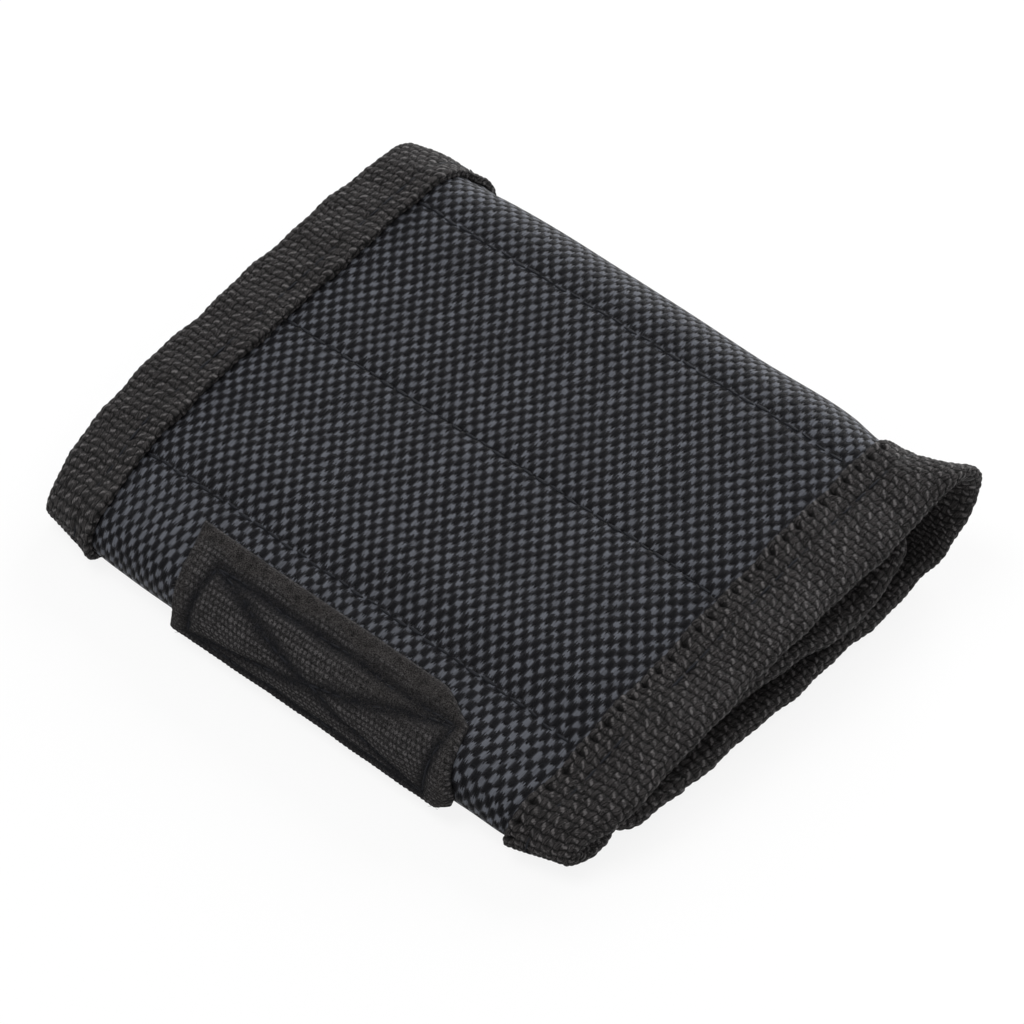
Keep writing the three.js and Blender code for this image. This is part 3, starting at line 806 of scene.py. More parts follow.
BINDING_TOP = 0.92
BINDING_UNDER = -1.65
LIP_RADIUS = 0.45
SEAM_FROM_LIP = {-1: 3.2, 1: 3.9}
LIP_RISE = {-1: 0.35, 1: 0.12}
PIT_DEPTH = {-1: 0.3, 1: 1.0}
TURNED_EDGE = 3.0
BINDING_STEP = 0.165
END_BINDING_STEP = 0.18


def binding_profile(width):
    """Outline of the folded webbing: distance in from the band's edge, n, and the outward direction."""
    edge_r = (BINDING_TOP - BINDING_UNDER) / 2
    centre = (BINDING_TOP + BINDING_UNDER) / 2
    points = []

    def arc(d, n, radius, a, b, size):
        for t in steps(math.radians(a), math.radians(b), size / radius):
            points.append((d + radius * math.cos(t), n + radius * math.sin(t), math.cos(t), math.sin(t)))

    def leaf(d0, d1, n, out, size):
        for d in steps(d0, d1, size)[1:-1]:
            points.append((d, n, 0.0, out))

    lip = width - LIP_RADIUS
    arc(lip, BINDING_TOP - LIP_RADIUS, LIP_RADIUS, -70, 90, 0.15)
    leaf(lip, edge_r, BINDING_TOP, 1.0, 0.155)
    arc(edge_r, centre, edge_r, 90, 270, 0.155)
    leaf(edge_r, lip, BINDING_UNDER, -1.0, 0.26)
    arc(lip, BINDING_UNDER + LIP_RADIUS, LIP_RADIUS, -90, 60, 0.25)
    under = BINDING_UNDER + 0.5
    over = 0.06
    deep = width - 1.2
    inside = np.array([(deep, under), (edge_r, under), (0.9, centre), (edge_r, over), (deep, over)])
    return np.array(points), inside


def yarn_luck(i, j):
    """Repeatable number from -1 to 1 for the float at column i, row j."""
    return np.modf(np.sin(12.9898 * i + 78.233 * j) * 437.585)[0]


def webbing_weave(w, t, sizes):
    """Yarn counts across and along, wandering a little, and the height of thick plain-woven yarns there."""
    u = w / (sizes.webbing_pitch_across / MM)
    v = t / (sizes.webbing_pitch_along / MM)
    u = u + 0.13 * np.sin(0.83 * t + 0.5 * w) + 0.08 * np.sin(2.3 * t - 1.1 * w)
    v = v + 0.15 * np.sin(0.7 * w + 0.31 * t) + 0.07 * np.sin(1.9 * w + 0.8 * t)
    i = np.floor(u)
    j = np.floor(v)
    a = 2 * (u - i) - 1
    b = 2 * (v - j) - 1
    warp = -0.5 * np.cos(math.pi * (v - 0.5 + i)) + np.sqrt(np.clip(1 - 0.92 * a * a, 0, 1)) - 0.9
    weft = 0.5 * np.cos(math.pi * (u - 0.5 + j)) + 0.9 * (np.sqrt(np.clip(1 - 0.96 * b * b, 0, 1)) - 1)
    return u, v, np.clip(0.62 + 0.62 * (np.maximum(warp, weft) + 0.1 * yarn_luck(i, j)), 0.0, 1.1)


def binding_strip(name, edge, inward, distance, narrow, sizes, material, side):
    """Webbing folded over an edge: edge holds (x, s) points of the band's edge, inward the way in."""
    width = sizes.binding_width / MM
    outline, inside = binding_profile(width)
    d = outline[:, 0]
    w = np.concatenate([[0.0], np.cumsum(np.hypot(np.diff(d), np.diff(outline[:, 1])))])[None, :]
    on_top = (outline[:, 3] > 0.6) & (outline[:, 1] > 0)
    lip_rise = np.where(on_top, LIP_RISE[side], 0.0) * bell(d - width, 1.5)
    t = distance[:, None]
    u, v, relief = webbing_weave(w, t, sizes)
    groove = np.where(on_top, bell(d - width + SEAM_FROM_LIP[side], 0.4), 0.0)[None, :]
    pit = np.where(on_top, bell(d - width + 1.15, 0.5), 0.0)[None, :]
    pit = pit * bell((v % 2) - 1, 0.36) * PIT_DEPTH[side]
    sag = 0.16 * np.sin(0.37 * t + 0.23 * w) + 0.1 * np.sin(0.83 * t - 0.4 * w)
    height = sizes.binding_relief / MM * (relief - 0.7) * (1 - 0.4 * groove) - 0.2 * groove - 0.55 * pit
    height = height + lip_rise[None, :] + sag * (outline[:, 3] > -0.5)[None, :]
    # Painted shade: the hollow mark darkens the stitch groove, the pits by the lip and the places where the
    # yarns lie low.
    hollow = np.clip(0.35 * groove + 0.95 * pit + 0.95 * smooth(0.58, 0.3, relief), 0.0, 1.0)
    squeeze = np.where(d[None, :] > TURNED_EDGE, narrow[:, None], 1.0)
    depth = (d[None, :] + outline[None, :, 2] * height) * squeeze
    depth_in = inside[None, :, 0] * np.where(inside[None, :, 0] > TURNED_EDGE, narrow[:, None], 1.0)
    rise = outline[None, :, 1] + outline[None, :, 3] * height
    rise_in = np.broadcast_to(inside[None, :, 1], depth_in.shape)
    depth = np.concatenate([depth, depth_in], axis=1)
    rise = np.concatenate([rise, rise_in], axis=1)
    points = place(edge[:, :1] + inward[:, :1] * depth, edge[:, 1:] + inward[:, 1:] * depth, rise)
    pitches = np.array([sizes.webbing_pitch_across / MM, sizes.webbing_pitch_along / MM])
    cloth = np.stack([u, v], axis=-1) * pitches * UV_PER_MM
    uv = np.concatenate([cloth, np.zeros(depth_in.shape + (2,))], axis=1)
    # The hidden inside of the fold is painted fully dark.
    hollow = np.concatenate([hollow, np.ones_like(depth_in)], axis=1)
    if side > 0:
        points, uv, hollow = points[:, ::-1], uv[:, ::-1], hollow[:, ::-1]
    return new_piece(name, loop_mesh(name, points, uv, hollow=hollow), material)


class WRISTBAND_OT_bindings(bpy.types.Operator):
    """Makes the webbing folded over both long edges"""

    bl_idname = "wristband.bindings"
    bl_label = "Edge bindings"

    def execute(self, context):
        sizes, colours = sizes_and_colours(context)
        webbing = finish_of("binding_webbing", webbing_finish, colours, sizes)
        for side, word in ((-1, "left"), (1, "right")):
            for name, turn in TURN_OF.items():
                along = steps(*span(name, sizes.binding_width / MM), BINDING_STEP)
                full = np.ones_like(along)
                edge = np.stack([full * side * HALF_WIDTH, along], axis=1)
                inward = np.stack([-side * full, np.zeros_like(along)], axis=1)
                label = f"binding_{name}_{word}"
                piece = binding_strip(label, edge, inward, along, full, sizes, webbing, side)
                follow(piece, name)
                if turn:
                    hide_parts(f"{turn}_binding_{word}")
        return {"FINISHED"}


class WRISTBAND_OT_end_bindings(bpy.types.Operator):
    """Makes the webbing round both free ends, with its rounded corners"""

    bl_idname = "wristband.end_bindings"
    bl_label = "End bindings"

    def execute(self, context):
        sizes, colours = sizes_and_colours(context)
        webbing = finish_of("binding_webbing", webbing_finish, colours, sizes)
        width = sizes.binding_width / MM
        radius = END_CORNER
        for name, end, way in (("bottom", 0.0, 1.0), ("flap", BAND_END, -1.0)):
            run = width - radius
            arc = radius * math.pi / 2
            across = 2 * (HALF_WIDTH - radius)
            total = 2 * run + 2 * arc + across
            t = steps(0.0, total, END_BINDING_STEP)
            half = np.minimum(t, total - t)
            mirror = np.where(t <= total / 2, 1.0, -1.0)
            angle = np.clip((half - run) / radius, 0.0, math.pi / 2)
            straight = np.clip(half - run - arc, 0.0, None)
            x = HALF_WIDTH - radius + radius * np.cos(angle) - straight
            gap = np.where(half < run, width - half, radius - radius * np.sin(angle))
            edge = np.stack([mirror * x, end + way * gap], axis=1)
            inward = np.stack([-mirror * np.cos(angle), way * np.sin(angle)], axis=1)
            room = np.maximum(gap, HALF_WIDTH - np.abs(edge[:, 0]))
            narrow = np.clip(room / width, 0.95 * radius / width, 1.0)
            if way < 0:
                edge, inward, narrow = edge[::-1], inward[::-1], narrow[::-1]
            piece = binding_strip(f"binding_end_{name}", edge, inward, t, narrow, sizes, webbing, 1)
            follow(piece, name)
            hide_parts(f"{name}_end_binding")
        return {"FINISHED"}


# Closure tapes


# The loop tape is sewn on just before the front fold, bends with it and then hangs straight
TAPE_LEAD = 4.3
TAPE_TURN = math.radians(77.0)
TAPE_HANG = 4.9
TAPE_TOP = FRONT_FOLD_START - TAPE_LEAD
TAPE_LEFT = (-23.0, -19.5)
TAPE_RIGHT = (24.9, 30.8)
TAPE_THICKNESS = 1.45
TAPE_ROUTE = Route(*(float(v) for v in ROUTE.at(TAPE_TOP)))
TAPE_ROUTE.line(TAPE_LEAD)
TAPE_BEND_END = TAPE_ROUTE.arc(FRONT_RADIUS, TAPE_TURN)
TAPE_END = TAPE_ROUTE.line(TAPE_HANG)
KNIT_ROW = 0.62
KNIT_LANE = 0.74
BOX_FROM_TOP = 3.7
BOX_FROM_END = 1.5
BOX_FROM_LEFT = 3.9
BOX_FROM_RIGHT = 3.6
HOOK_ALONG = (13.0, 35.0)
HOOK_ACROSS = (-21.0, 28.0)
HOOK_STEP = 0.4
HOOK_PITCH = 1.6
HOOK_FACE = -2.5
HOOK_BACK = -3.1
STUB_HEIGHT = 0.35


def place_tape(x, t, n):
    """Point on the loop tape, metres: x across the band, t down the tape, n out from its back."""
    x, t, n = np.broadcast_arrays(np.asarray(x, float), np.asarray(t, float), np.asarray(n, float))
    y, z, h = TAPE_ROUTE.at(t)
    along = TAPE_TOP + np.minimum(t, TAPE_BEND_END)
    drop = settle(x, along) * (1 - smooth(TAPE_BEND_END - 4, TAPE_END, t))
    n = n + waves(x, TAPE_TOP + t)
    reach = lean(x, along) + 0.3 * smooth(TAPE_BEND_END, TAPE_END, t)
    z = rested(z - n * np.cos(h) + drop)
    return np.stack([x, y - reach + n * np.sin(h), z], axis=-1) * MM


def tape_side(ends, t):
    """Where a side of the tape lies across the band: both sides slant to the right on the way down."""
    left = -1.3 * np.sin(math.pi * t / TAPE_END)
    right = 1.5 * smooth(0.72 * TAPE_END, TAPE_END, t)
    return ends[0] + (ends[1] - ends[0]) * t / TAPE_END - (left if ends is TAPE_LEFT else right)


def tape_top(share):
    """Where the tape's top edge lies, share of the way across it: the right-hand corner is cut off."""
    return 2.6 * smooth(0.88, 1.02, share)


def tape_bottom(share):
    """Where the tape's lower edge lies, share of the way across it: both corners are rounded off."""
    return TAPE_END - 1.7 * smooth(0.955, 1.01, share) - 0.4 * smooth(0.03, -0.01, share)


def box_stitch_lines():
    """Lines of the box and cross sewn through the loop tape, as pairs of (x, t) ends."""
    top, low = BOX_FROM_TOP, TAPE_END - BOX_FROM_END
    left = tape_side(TAPE_LEFT, 7.0) + BOX_FROM_LEFT
    right = tape_side(TAPE_RIGHT, 9.0) - BOX_FROM_RIGHT
    a, b, c, d = (left, top), (right, top), (right, low), (left, low)
    return [(a, b), (b, c), (c, d), (d, a), (a, c), (b, d)]


def box_stitch_dip(x, t):
    """How far the box and cross of stitches draw the tape down, 0 to 1."""
    dip = np.zeros_like(x)
    for (x0, t0), (x1, t1) in box_stitch_lines():
        length2 = (x1 - x0) ** 2 + (t1 - t0) ** 2
        k = np.clip(((x - x0) * (x1 - x0) + (t - t0) * (t1 - t0)) / length2, 0, 1)
        gap = np.hypot(x - x0 - k * (x1 - x0), t - t0 - k * (t1 - t0))
        dip = np.maximum(dip, bell(gap, 0.75))
    return dip


def loop_tape_mesh():
    """The loop tape: a knit ground drawn down by its stitching, a fuzzy top border and a rounded rim."""
    across, down = np.linspace(0.0, 1.0, 300), np.linspace(0.0, 1.0, 92)
    part, share = np.broadcast_arrays(across[None, :], down[:, None])
    top, bottom = tape_top(part), tape_bottom(part)
    t = top + share * (bottom - top)
    left, right = tape_side(TAPE_LEFT, t), tape_side(TAPE_RIGHT, t)
    x = left + part * (right - left)
    rim = np.minimum(np.minimum(x - left, right - x), np.minimum(t - top, bottom - t))
    row = np.floor(t / KNIT_ROW)
    lane = x / KNIT_LANE + 0.5 * row + 0.2 * np.sin(1.1 * t + 0.6 * x) + 0.12 * np.sin(2.3 * x - 1.7 * t)
    luck = 0.75 + 0.25 * yarn_luck(np.floor(lane), row)
    knit = np.abs(np.sin(math.pi * lane) * np.sin(math.pi * t / KNIT_ROW)) * luck
    dip = box_stitch_dip(x, t)
    border = 1 - smooth(1.7, 2.9, t - top + 0.4 * np.sin(0.6 * x))
    lens = np.exp(-(((x - 16.0) / 7.0) ** 2) - (((t - 4.2) / 2.2) ** 2))
    sides = 0.5 * (1 - smooth(1.0, 3.5, np.minimum(x - left, right - x)))
    fuzz = np.maximum.reduce([border, lens, sides]) * smooth(0.1, 0.7, rim)
    # The finish paints shade where this relief is low.
    relief = np.clip(knit * (1 - 0.6 * dip) * (1 - 0.5 * fuzz) + 0.2 * fuzz, 0, 1)
    swell = 0.18 * np.sin(0.7 * x + 0.4 * t) * np.sin(0.5 * t + 0.3)
    face = 0.4 + (TAPE_THICKNESS - 0.4) * np.sqrt(smooth(-0.05, 0.8, rim)) + swell * smooth(0, 2, rim)
    face = face + 0.2 * (knit - 0.5) * (1 - 0.6 * fuzz) * smooth(0, 0.6, rim) - 0.5 * dip
    back = 0.05 + 0.2 * smooth(TAPE_BEND_END, TAPE_END, t)
    blank = np.zeros_like(x)
    marks = {"relief": relief, "fuzz": fuzz, "seam": dip}
    marks = {key: both_sides(one, blank) for key, one in marks.items()}
    return sheet_mesh("loop_tape", place_tape, x, t, face, back, **marks)


def hook_tape_mesh():
    """The hook tape inside the roll: a thin base with rows of low stubs."""
    along = steps(*HOOK_ALONG, HOOK_STEP)
    across = steps(*HOOK_ACROSS, HOOK_STEP)
    x = np.broadcast_to(across, (len(along), len(across)))
    s = np.broadcast_to(along[:, None], x.shape)
    stubs = np.sin(2 * math.pi * x / HOOK_PITCH) * np.sin(2 * math.pi * s / HOOK_PITCH)
    stubs = np.clip(stubs, 0, 1)
    face = np.full(x.shape, HOOK_FACE)
    relief = both_sides(np.zeros_like(x), stubs)
    return sheet_mesh("hook_tape", place, x, s, face, HOOK_BACK - STUB_HEIGHT * stubs, relief=relief)


class WRISTBAND_OT_closure(bpy.types.Operator):
    """Makes the loop tape on the front fold, its raised pile, and the hook tape inside the roll"""

    bl_idname = "wristband.closure"
    bl_label = "Closure tapes"

    def execute(self, context):
        sizes, colours = sizes_and_colours(context)
        knit = pile_finish(colours)
        tape = new_piece("loop_tape", loop_tape_mesh(), knit)
        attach(tape, "flap")
        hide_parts("closure_loop_tape")
        hooks = new_piece("hook_tape", hook_tape_mesh(), knit)
        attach(hooks, "bottom")
        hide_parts("closure_hook_tape")
        values = {
            "Fibres per area": sizes.pile_density,
            "Fibre length": sizes.pile_length,
            "Fibre finish": thread_finish("pile_fibre", colours.lint),
        }
        pile = baked("loop_pile", tape.data.copy(), "raised_pile", pile_tree, values)
        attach(pile, "flap")
        return {"FINISHED"}


# Pile and stitching


def new_tree(name, inputs):
    """Geometry node tree with a geometry input, the named inputs and a geometry output, and its inputs."""
    group = bpy.data.node_groups.new(name, "GeometryNodeTree")
    face = group.interface
    face.new_socket(name="Geometry", in_out="INPUT", socket_type="NodeSocketGeometry")
    for label, value in inputs.items():
        kind = "NodeSocketMaterial" if value is None else "NodeSocketFloat"
        socket = face.new_socket(name=label, in_out="INPUT", socket_type=kind)
        if value is not None:
            socket.default_value = value
    face.new_socket(name="Geometry", in_out="OUTPUT", socket_type="NodeSocketGeometry")
    nodes = Nodes(group)
    return nodes, nodes.add("NodeGroupInput").outputs


def close_tree(nodes, instances, finish):
    """Ends a tree: instances made real and given their finish."""
    real = nodes.add("GeometryNodeRealizeInstances", {0: instances})
    paint = nodes.add("GeometryNodeSetMaterial", {"Geometry": real.outputs[0], "Material": finish})
    nodes.add("NodeGroupOutput", {0: paint.outputs[0]})
    return nodes.tree


def stitch_tree(name):
    """Lays one rounded thread stitch at each point, along its sewing line."""
    inputs = {"Stitch length": 0.002, "Thread width": 0.0004, "Thread height": 0.0003, "Thread finish": None}
    nodes, given = new_tree(name, inputs)
    ball = nodes.add("GeometryNodeMeshUVSphere", {"Segments": 8, "Rings": 5, "Radius": 0.5})
    labels = ("Stitch length", "Thread width", "Thread height")
    scale = nodes.feed(nodes.add("ShaderNodeCombineXYZ"), *(given[label] for label in labels))
    shaped = nodes.add("GeometryNodeTransform", {"Geometry": ball.outputs["Mesh"], "Scale": scale})
    turn = None
    for label, axis, pivot in (("along", "X", "AUTO"), ("out", "Z", "X")):
        way = nodes.add("GeometryNodeInputNamedAttribute", {"Name": label}, data_type="FLOAT_VECTOR")
        align = nodes.add("FunctionNodeAlignRotationToVector", axis=axis, pivot_axis=pivot)
        nodes.put(way.outputs["Attribute"], align.inputs["Vector"])
        if turn:
            nodes.put(turn, align.inputs["Rotation"])
        turn = align.outputs[0]
    uneven = nodes.add("FunctionNodeRandomValue", {2: 0.72, 3: 1.12, "Seed": 3}, data_type="FLOAT")
    laid = {
        "Points": given["Geometry"],
        "Instance": shaped.outputs[0],
        "Rotation": turn,
        "Scale": uneven.outputs[1],
    }
    lay = nodes.add("GeometryNodeInstanceOnPoints", laid)
    return close_tree(nodes, lay.outputs[0], given["Thread finish"])


def pile_tree(name):
    """Scatters short curled fibres where the mesh's fuzz attribute is high."""
    nodes, given = new_tree(name, {"Fibres per area": 1.0e6, "Fibre length": 0.001, "Fibre finish": None})
    fuzz = nodes.add("GeometryNodeInputNamedAttribute", {"Name": "fuzz"}, data_type="FLOAT")
    density = nodes.times(given["Fibres per area"], fuzz.outputs["Attribute"])
    scattered = {"Mesh": given["Geometry"], "Density": density, "Seed": 11}
    scatter = nodes.add("GeometryNodeDistributePointsOnFaces", scattered)
    curve = {"Resolution": 4, "Start": (0.0, 0.0, 0.0), "Middle": (0.15, 0.0, 0.45), "End": (0.85, 0.1, 0.2)}
    bow = nodes.add("GeometryNodeCurveQuadraticBezier", curve)
    ring = nodes.add("GeometryNodeCurvePrimitiveCircle", {"Resolution": 3, "Radius": 0.03})
    hair = nodes.add(
        "GeometryNodeCurveToMesh", {"Curve": bow.outputs["Curve"], "Profile Curve": ring.outputs["Curve"]}
    )
    turns = {"Min": (-0.5, -0.5, -3.2), "Max": (0.5, 0.5, 3.2), "Seed": 5}
    spin = nodes.add("FunctionNodeRandomValue", data_type="FLOAT_VECTOR", inputs=turns)
    turned = {"Rotation": scatter.outputs["Rotation"], "Rotate By": spin.outputs["Value"]}
    turn = nodes.add("FunctionNodeRotateRotation", turned, rotation_space="LOCAL")
    grow = nodes.add("FunctionNodeRandomValue", {2: 0.5, 3: 1.2, "Seed": 8}, data_type="FLOAT")
    laid = {
        "Points": scatter.outputs["Points"],
        "Instance": hair.outputs["Mesh"],
        "Rotation": turn.outputs[0],
        "Scale": nodes.times(grow.outputs[1], given["Fibre length"]),
    }
    lay = nodes.add("GeometryNodeInstanceOnPoints", laid)
    return close_tree(nodes, lay.outputs[0], given["Fibre finish"])


def baked(name, mesh, tree_name, make_tree, values):
    """The result of a node tree on a mesh, as one plain mesh piece."""
    holder = bpy.data.objects.new(name + "_marks", mesh)
    bpy.context.scene.collection.objects.link(holder)
    tree = bpy.data.node_groups.get(tree_name) or make_tree(tree_name)
    modifier = holder.modifiers.new(tree_name, "NODES")
    modifier.node_group = tree
    for item in tree.interface.items_tree:
        if item.in_out == "INPUT" and item.name in values:
            modifier[item.identifier] = values[item.name]
    bpy.context.view_layer.update()
    graph = bpy.context.evaluated_depsgraph_get()
    result = bpy.data.meshes.new_from_object(holder.evaluated_get(graph), depsgraph=graph)
    result.name = name
    for key in ("along", "out", "fuzz", "relief", "seam"):
        if key in result.attributes:
            result.attributes.remove(result.attributes[key])
    bpy.data.objects.remove(holder, do_unlink=True)
    if len(result.polygons) == 0:
        raise RuntimeError(f"nothing was made for {name}")
    result.polygons.foreach_set("use_smooth", np.ones(len(result.polygons), dtype=bool))
    piece = bpy.data.objects.new(name, result)
    bpy.context.scene.collection.objects.link(piece)
    return piece


def sewn(name, spot, length, width, height, finish):
    """Stitches at points with their sewing and outward directions, as one piece."""
    points, along, out = spot
    mesh = bpy.data.meshes.new(name + "_marks")
    mesh.from_pydata([tuple(p) for p in points], [], [])
    for key, values in (("along", along), ("out", out)):
        marks = mesh.attributes.new(key, "FLOAT_VECTOR", "POINT")
        marks.data.foreach_set("vector", values.astype(np.float32).ravel())
    sizes = {"Stitch length": length, "Thread width": width, "Thread height": height}
    return baked(name, mesh, "thread_stitches", stitch_tree, {**sizes, "Thread finish": finish})


def seam_points(put, x, s, n):
    """Points, sewing directions and outward directions along a seam."""
    points = put(x, s, n)
    out = put(x, s, n + 0.5) - points
    out /= np.linalg.norm(out, axis=1)[:, None]
    along = np.gradient(points, axis=0)
    along /= np.maximum(np.linalg.norm(along, axis=1)[:, None], 1e-12)
    return points, along, out


# Sewn rows that have stitches, and what each one follows
STITCHED_ROWS = (
    ("under", UNDER_ROW, "bottom", None),
    ("fold", FOLD_ROW, "bottom", None),
    ("back", BACK_ROW, None, "back"),
    ("middle", MIDDLE_ROW, "top", None),
    ("front", FRONT_ROW, None, "front"),
    ("flap", FLAP_ROW, "flap", None),
)
ROW_REACH = 37.0
SEAM_END_GAP = 0.3
# Lengths of one stitch in metres, then their pitches and how deep the threads lie, in millimetres
ROW_STITCH = 0.0024
BINDING_STITCH = 0.0025
BOX_STITCH = 0.0019
ROW_STITCH_PITCH = 2.5
BINDING_STITCH_PITCH = 2.8
BOX_STITCH_PITCH = 1.9
ROW_THREAD_DEPTH = 0.25
BINDING_THREAD_DEPTH = 0.2
BOX_THREAD_DEPTH = 0.6


class WRISTBAND_OT_stitching(bpy.types.Operator):
    """Sews the rows, the bindings and the box on the loop tape"""

    bl_idname = "wristband.stitching"
    bl_label = "Stitching"

    def execute(self, context):
        sizes, colours = sizes_and_colours(context)
        thread = thread_finish("sewing_thread", colours.thread)
        self.rows(sizes, thread)
        self.bindings(sizes, thread)
        self.box(sizes, thread)
        return {"FINISHED"}

    def rows(self, sizes, thread):
        wide = sizes.thread_width
        for word, row, body, bend in STITCHED_ROWS:
            x = np.arange(-ROW_REACH, ROW_REACH + 0.5, ROW_STITCH_PITCH)
            stray = 0.12 * np.sin(29.0 * np.arange(len(x)))
            spot = seam_points(place, x, row + stray, np.full_like(x, -ROW_THREAD_DEPTH))
            piece = sewn(f"row_stitches_{word}", spot, ROW_STITCH, wide * 1.25, wide * 0.75, thread)
            if bend:
                follow(piece, bend)
            else:
                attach(piece, body)

    def bindings(self, sizes, thread):
        wide = sizes.thread_width
        width = sizes.binding_width / MM
        for side, word in ((-1, "left"), (1, "right")):
            from_edge = width - SEAM_FROM_LIP[side]
            for name, (a, b) in STRETCHES.items():
                low = a + width if name == "bottom" else a + SEAM_END_GAP
                high = b - width if name == "flap" else b - SEAM_END_GAP
                half = BINDING_STITCH_PITCH / 2
                s = steps(low + half, high - half, BINDING_STITCH_PITCH)
                x = np.full_like(s, side * (HALF_WIDTH - from_edge))
                spot = seam_points(place, x, s, np.full_like(s, BINDING_TOP - BINDING_THREAD_DEPTH))
                label = f"binding_stitches_{name}_{word}"
                piece = sewn(label, spot, BINDING_STITCH, wide, wide * 0.75, thread)
                follow(piece, name)

    def box(self, sizes, thread):
        wide = sizes.thread_width
        spots = []
        for (x0, t0), (x1, t1) in box_stitch_lines():
            count = int(math.hypot(x1 - x0, t1 - t0) / BOX_STITCH_PITCH)
            k = (np.arange(count) + 0.5) / count
            n = np.full_like(k, TAPE_THICKNESS - BOX_THREAD_DEPTH)
            stray = 0.22 * np.sin(37.0 * np.arange(count))
            spots.append(seam_points(place_tape, x0 + k * (x1 - x0), t0 + k * (t1 - t0) + stray, n))
        spot = [np.concatenate([one[i] for one in spots]) for i in range(3)]
        piece = sewn("closure_stitches", spot, BOX_STITCH, wide * 0.8, wide * 0.7, thread)
        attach(piece, "flap")


class WRISTBAND_OT_magnets(bpy.types.Operator):
    """Gives the magnets in the pockets their nickel plating"""

    bl_idname = "wristband.magnets"
    bl_label = "Magnets"

    def execute(self, context):
        nickel = magnet_finish(context.scene.wristband_colours)
        for name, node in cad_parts.items():
            if "magnet" in name:
                node.data.materials.clear()
                node.data.materials.append(nickel)
        return {"FINISHED"}


# Stage


CAMERA_PLACE = (0.2501, -0.2766, 0.3888)
CAMERA_TURN = ((0.7453, -0.4789, 0.4640), (0.6668, 0.5353, -0.5186), (0.0, 0.6959, 0.7182))
FOCAL_PIXELS = 4032.5
IMAGE_PIXELS = 1024
SENSOR_WIDTH = 36
# Name, place, size and power of each soft lamp
LAMPS = (
    ("key", (-0.35, -0.25, 1.0), 0.7, 5.3),
    ("fill", (0.75, -0.75, 0.7), 0.8, 2.6),
    ("back", (-0.1, 1.0, 0.32), 0.8, 15.0),
)
FLOOR_REACH = 3.0
FLOOR_COLOUR = (0.9, 0.9, 0.9, 1.0)
FLOOR_WHITE = 0.86
WHITE = (1.0, 1.0, 1.0, 1.0)
WORLD_LEVEL = 0.4


def background_rays(nodes):
    """1 for the rays that show the background, which are camera, glossy and transmitted ones."""
    path = nodes.add("ShaderNodeLightPath").outputs
    seen = nodes.math("MAXIMUM", path["Is Camera Ray"], path["Is Glossy Ray"])
    return nodes.math("MAXIMUM", seen, path["Is Transmission Ray"])


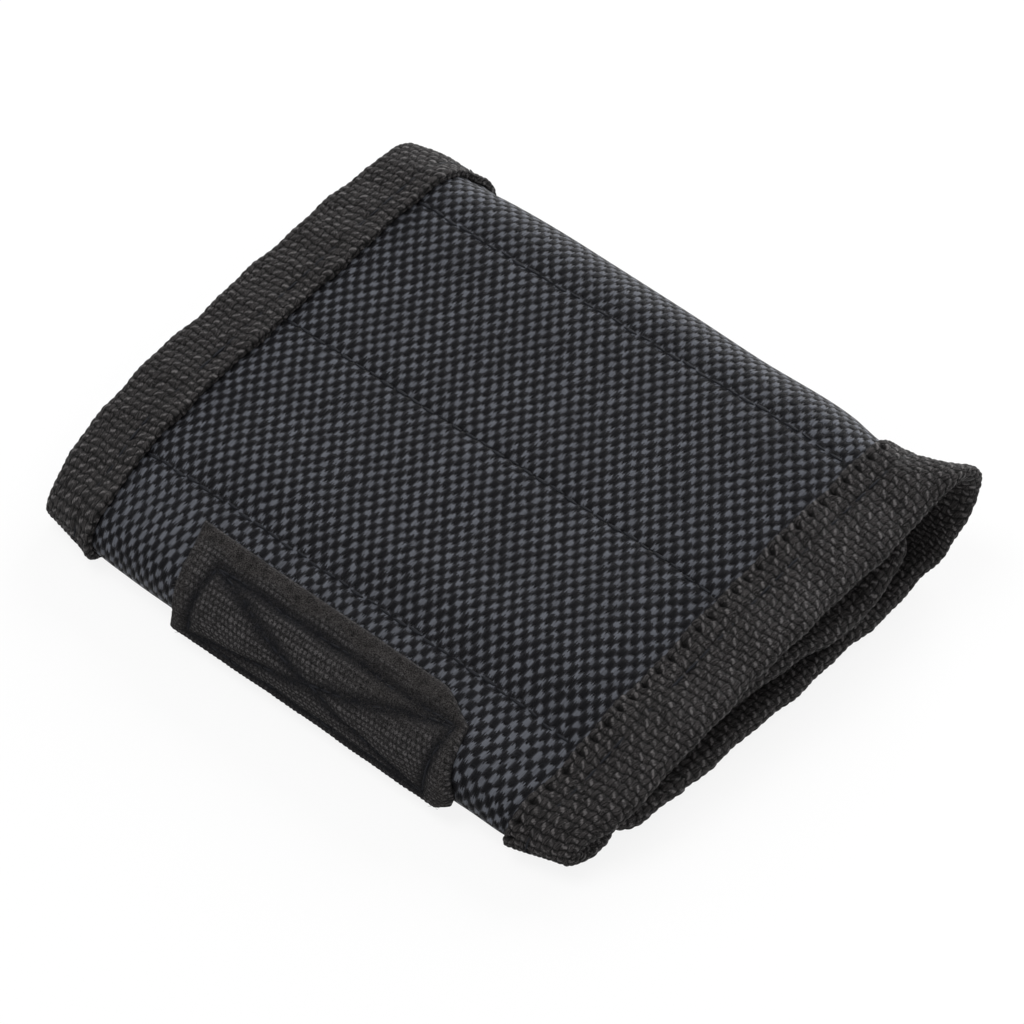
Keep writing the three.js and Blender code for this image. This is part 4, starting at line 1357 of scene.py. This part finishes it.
class WRISTBAND_OT_stage(bpy.types.Operator):
    """Sets the pale floor, soft studio light and the camera"""

    bl_idname = "wristband.stage"
    bl_label = "Stage"

    def execute(self, context):
        scene = context.scene
        scene.view_settings.view_transform = "Standard"
        mesh = bpy.data.meshes.new("floor")
        r = FLOOR_REACH
        mesh.from_pydata([(-r, -r, 0), (r, -r, 0), (r, r, 0), (-r, r, 0)], [], [(0, 1, 2, 3)])
        floor = new_piece("floor", mesh, self.floor_finish())
        world = bpy.data.worlds.new("studio")
        scene.world = world
        world.use_nodes = True
        nodes = Nodes(world.node_tree)
        level = nodes.math("MULTIPLY_ADD", background_rays(nodes), 1 - WORLD_LEVEL, WORLD_LEVEL)
        glow = nodes.add("ShaderNodeBackground", {"Color": WHITE, "Strength": level})
        nodes.add("ShaderNodeOutputWorld", {"Surface": glow.outputs[0]})
        for lamp in LAMPS:
            self.lamp(*lamp)
        eye = bpy.data.cameras.new("camera")
        eye.lens = FOCAL_PIXELS / IMAGE_PIXELS * SENSOR_WIDTH
        eye.sensor_width = SENSOR_WIDTH
        eye.clip_start = 0.01
        camera = bpy.data.objects.new("camera", eye)
        scene.collection.objects.link(camera)
        camera.matrix_world = Matrix.Translation(Vector(CAMERA_PLACE)) @ Matrix(CAMERA_TURN).to_4x4()
        scene.camera = camera
        return {"FINISHED"}

    def lamp(self, name, where, size, power):
        light = bpy.data.lights.new(name, "AREA")
        light.size = size
        light.energy = power
        lamp = bpy.data.objects.new(name, light)
        lamp.location = where
        lamp.rotation_euler = (-Vector(where)).to_track_quat("-Z", "Y").to_euler()
        bpy.context.scene.collection.objects.link(lamp)

    def floor_finish(self):
        sh = Shader("pale_floor")
        sh.finish(Base_Color=FLOOR_COLOUR, Roughness=0.9, Specular_IOR_Level=0.1)
        white = sh.add("ShaderNodeEmission")
        share = sh.times(background_rays(sh), FLOOR_WHITE)
        both = sh.add("ShaderNodeMixShader", {0: share, 1: sh.skin.outputs[0], 2: white.outputs[0]})
        sh.put(both.outputs[0], sh.out.inputs["Surface"])
        return sh.material


class WRISTBAND_PT_panel(bpy.types.Panel):
    """Lists the steps that build the wristband"""

    bl_idname = "WRISTBAND_PT_panel"
    bl_label = "Wristband"
    bl_space_type = "VIEW_3D"
    bl_region_type = "UI"
    bl_category = "Wristband"

    def draw(self, context):
        column = self.layout.column()
        for operator in OPERATORS:
            column.operator(operator.bl_idname)
        for group in sizes_and_colours(context):
            for name in group.__annotations__:
                column.prop(group, name)


OPERATORS = (
    WRISTBAND_OT_stage,
    WRISTBAND_OT_cloth,
    WRISTBAND_OT_lining,
    WRISTBAND_OT_bindings,
    WRISTBAND_OT_end_bindings,
    WRISTBAND_OT_closure,
    WRISTBAND_OT_stitching,
    WRISTBAND_OT_magnets,
)
CLASSES = (WristbandSizes, WristbandColours, *OPERATORS, WRISTBAND_PT_panel)


def register():
    for one in CLASSES:
        bpy.utils.register_class(one)
    bpy.types.Scene.wristband_sizes = bpy.props.PointerProperty(type=WristbandSizes)
    bpy.types.Scene.wristband_colours = bpy.props.PointerProperty(type=WristbandColours)


def unregister():
    del bpy.types.Scene.wristband_colours
    del bpy.types.Scene.wristband_sizes
    for one in reversed(CLASSES):
        bpy.utils.unregister_class(one)


def main():
    register()
    bpy.ops.wristband.stage()
    bpy.ops.wristband.cloth()
    bpy.ops.wristband.lining()
    bpy.ops.wristband.bindings()
    bpy.ops.wristband.end_bindings()
    bpy.ops.wristband.closure()
    bpy.ops.wristband.stitching()
    bpy.ops.wristband.magnets()


if __name__ == "__main__":
    main()
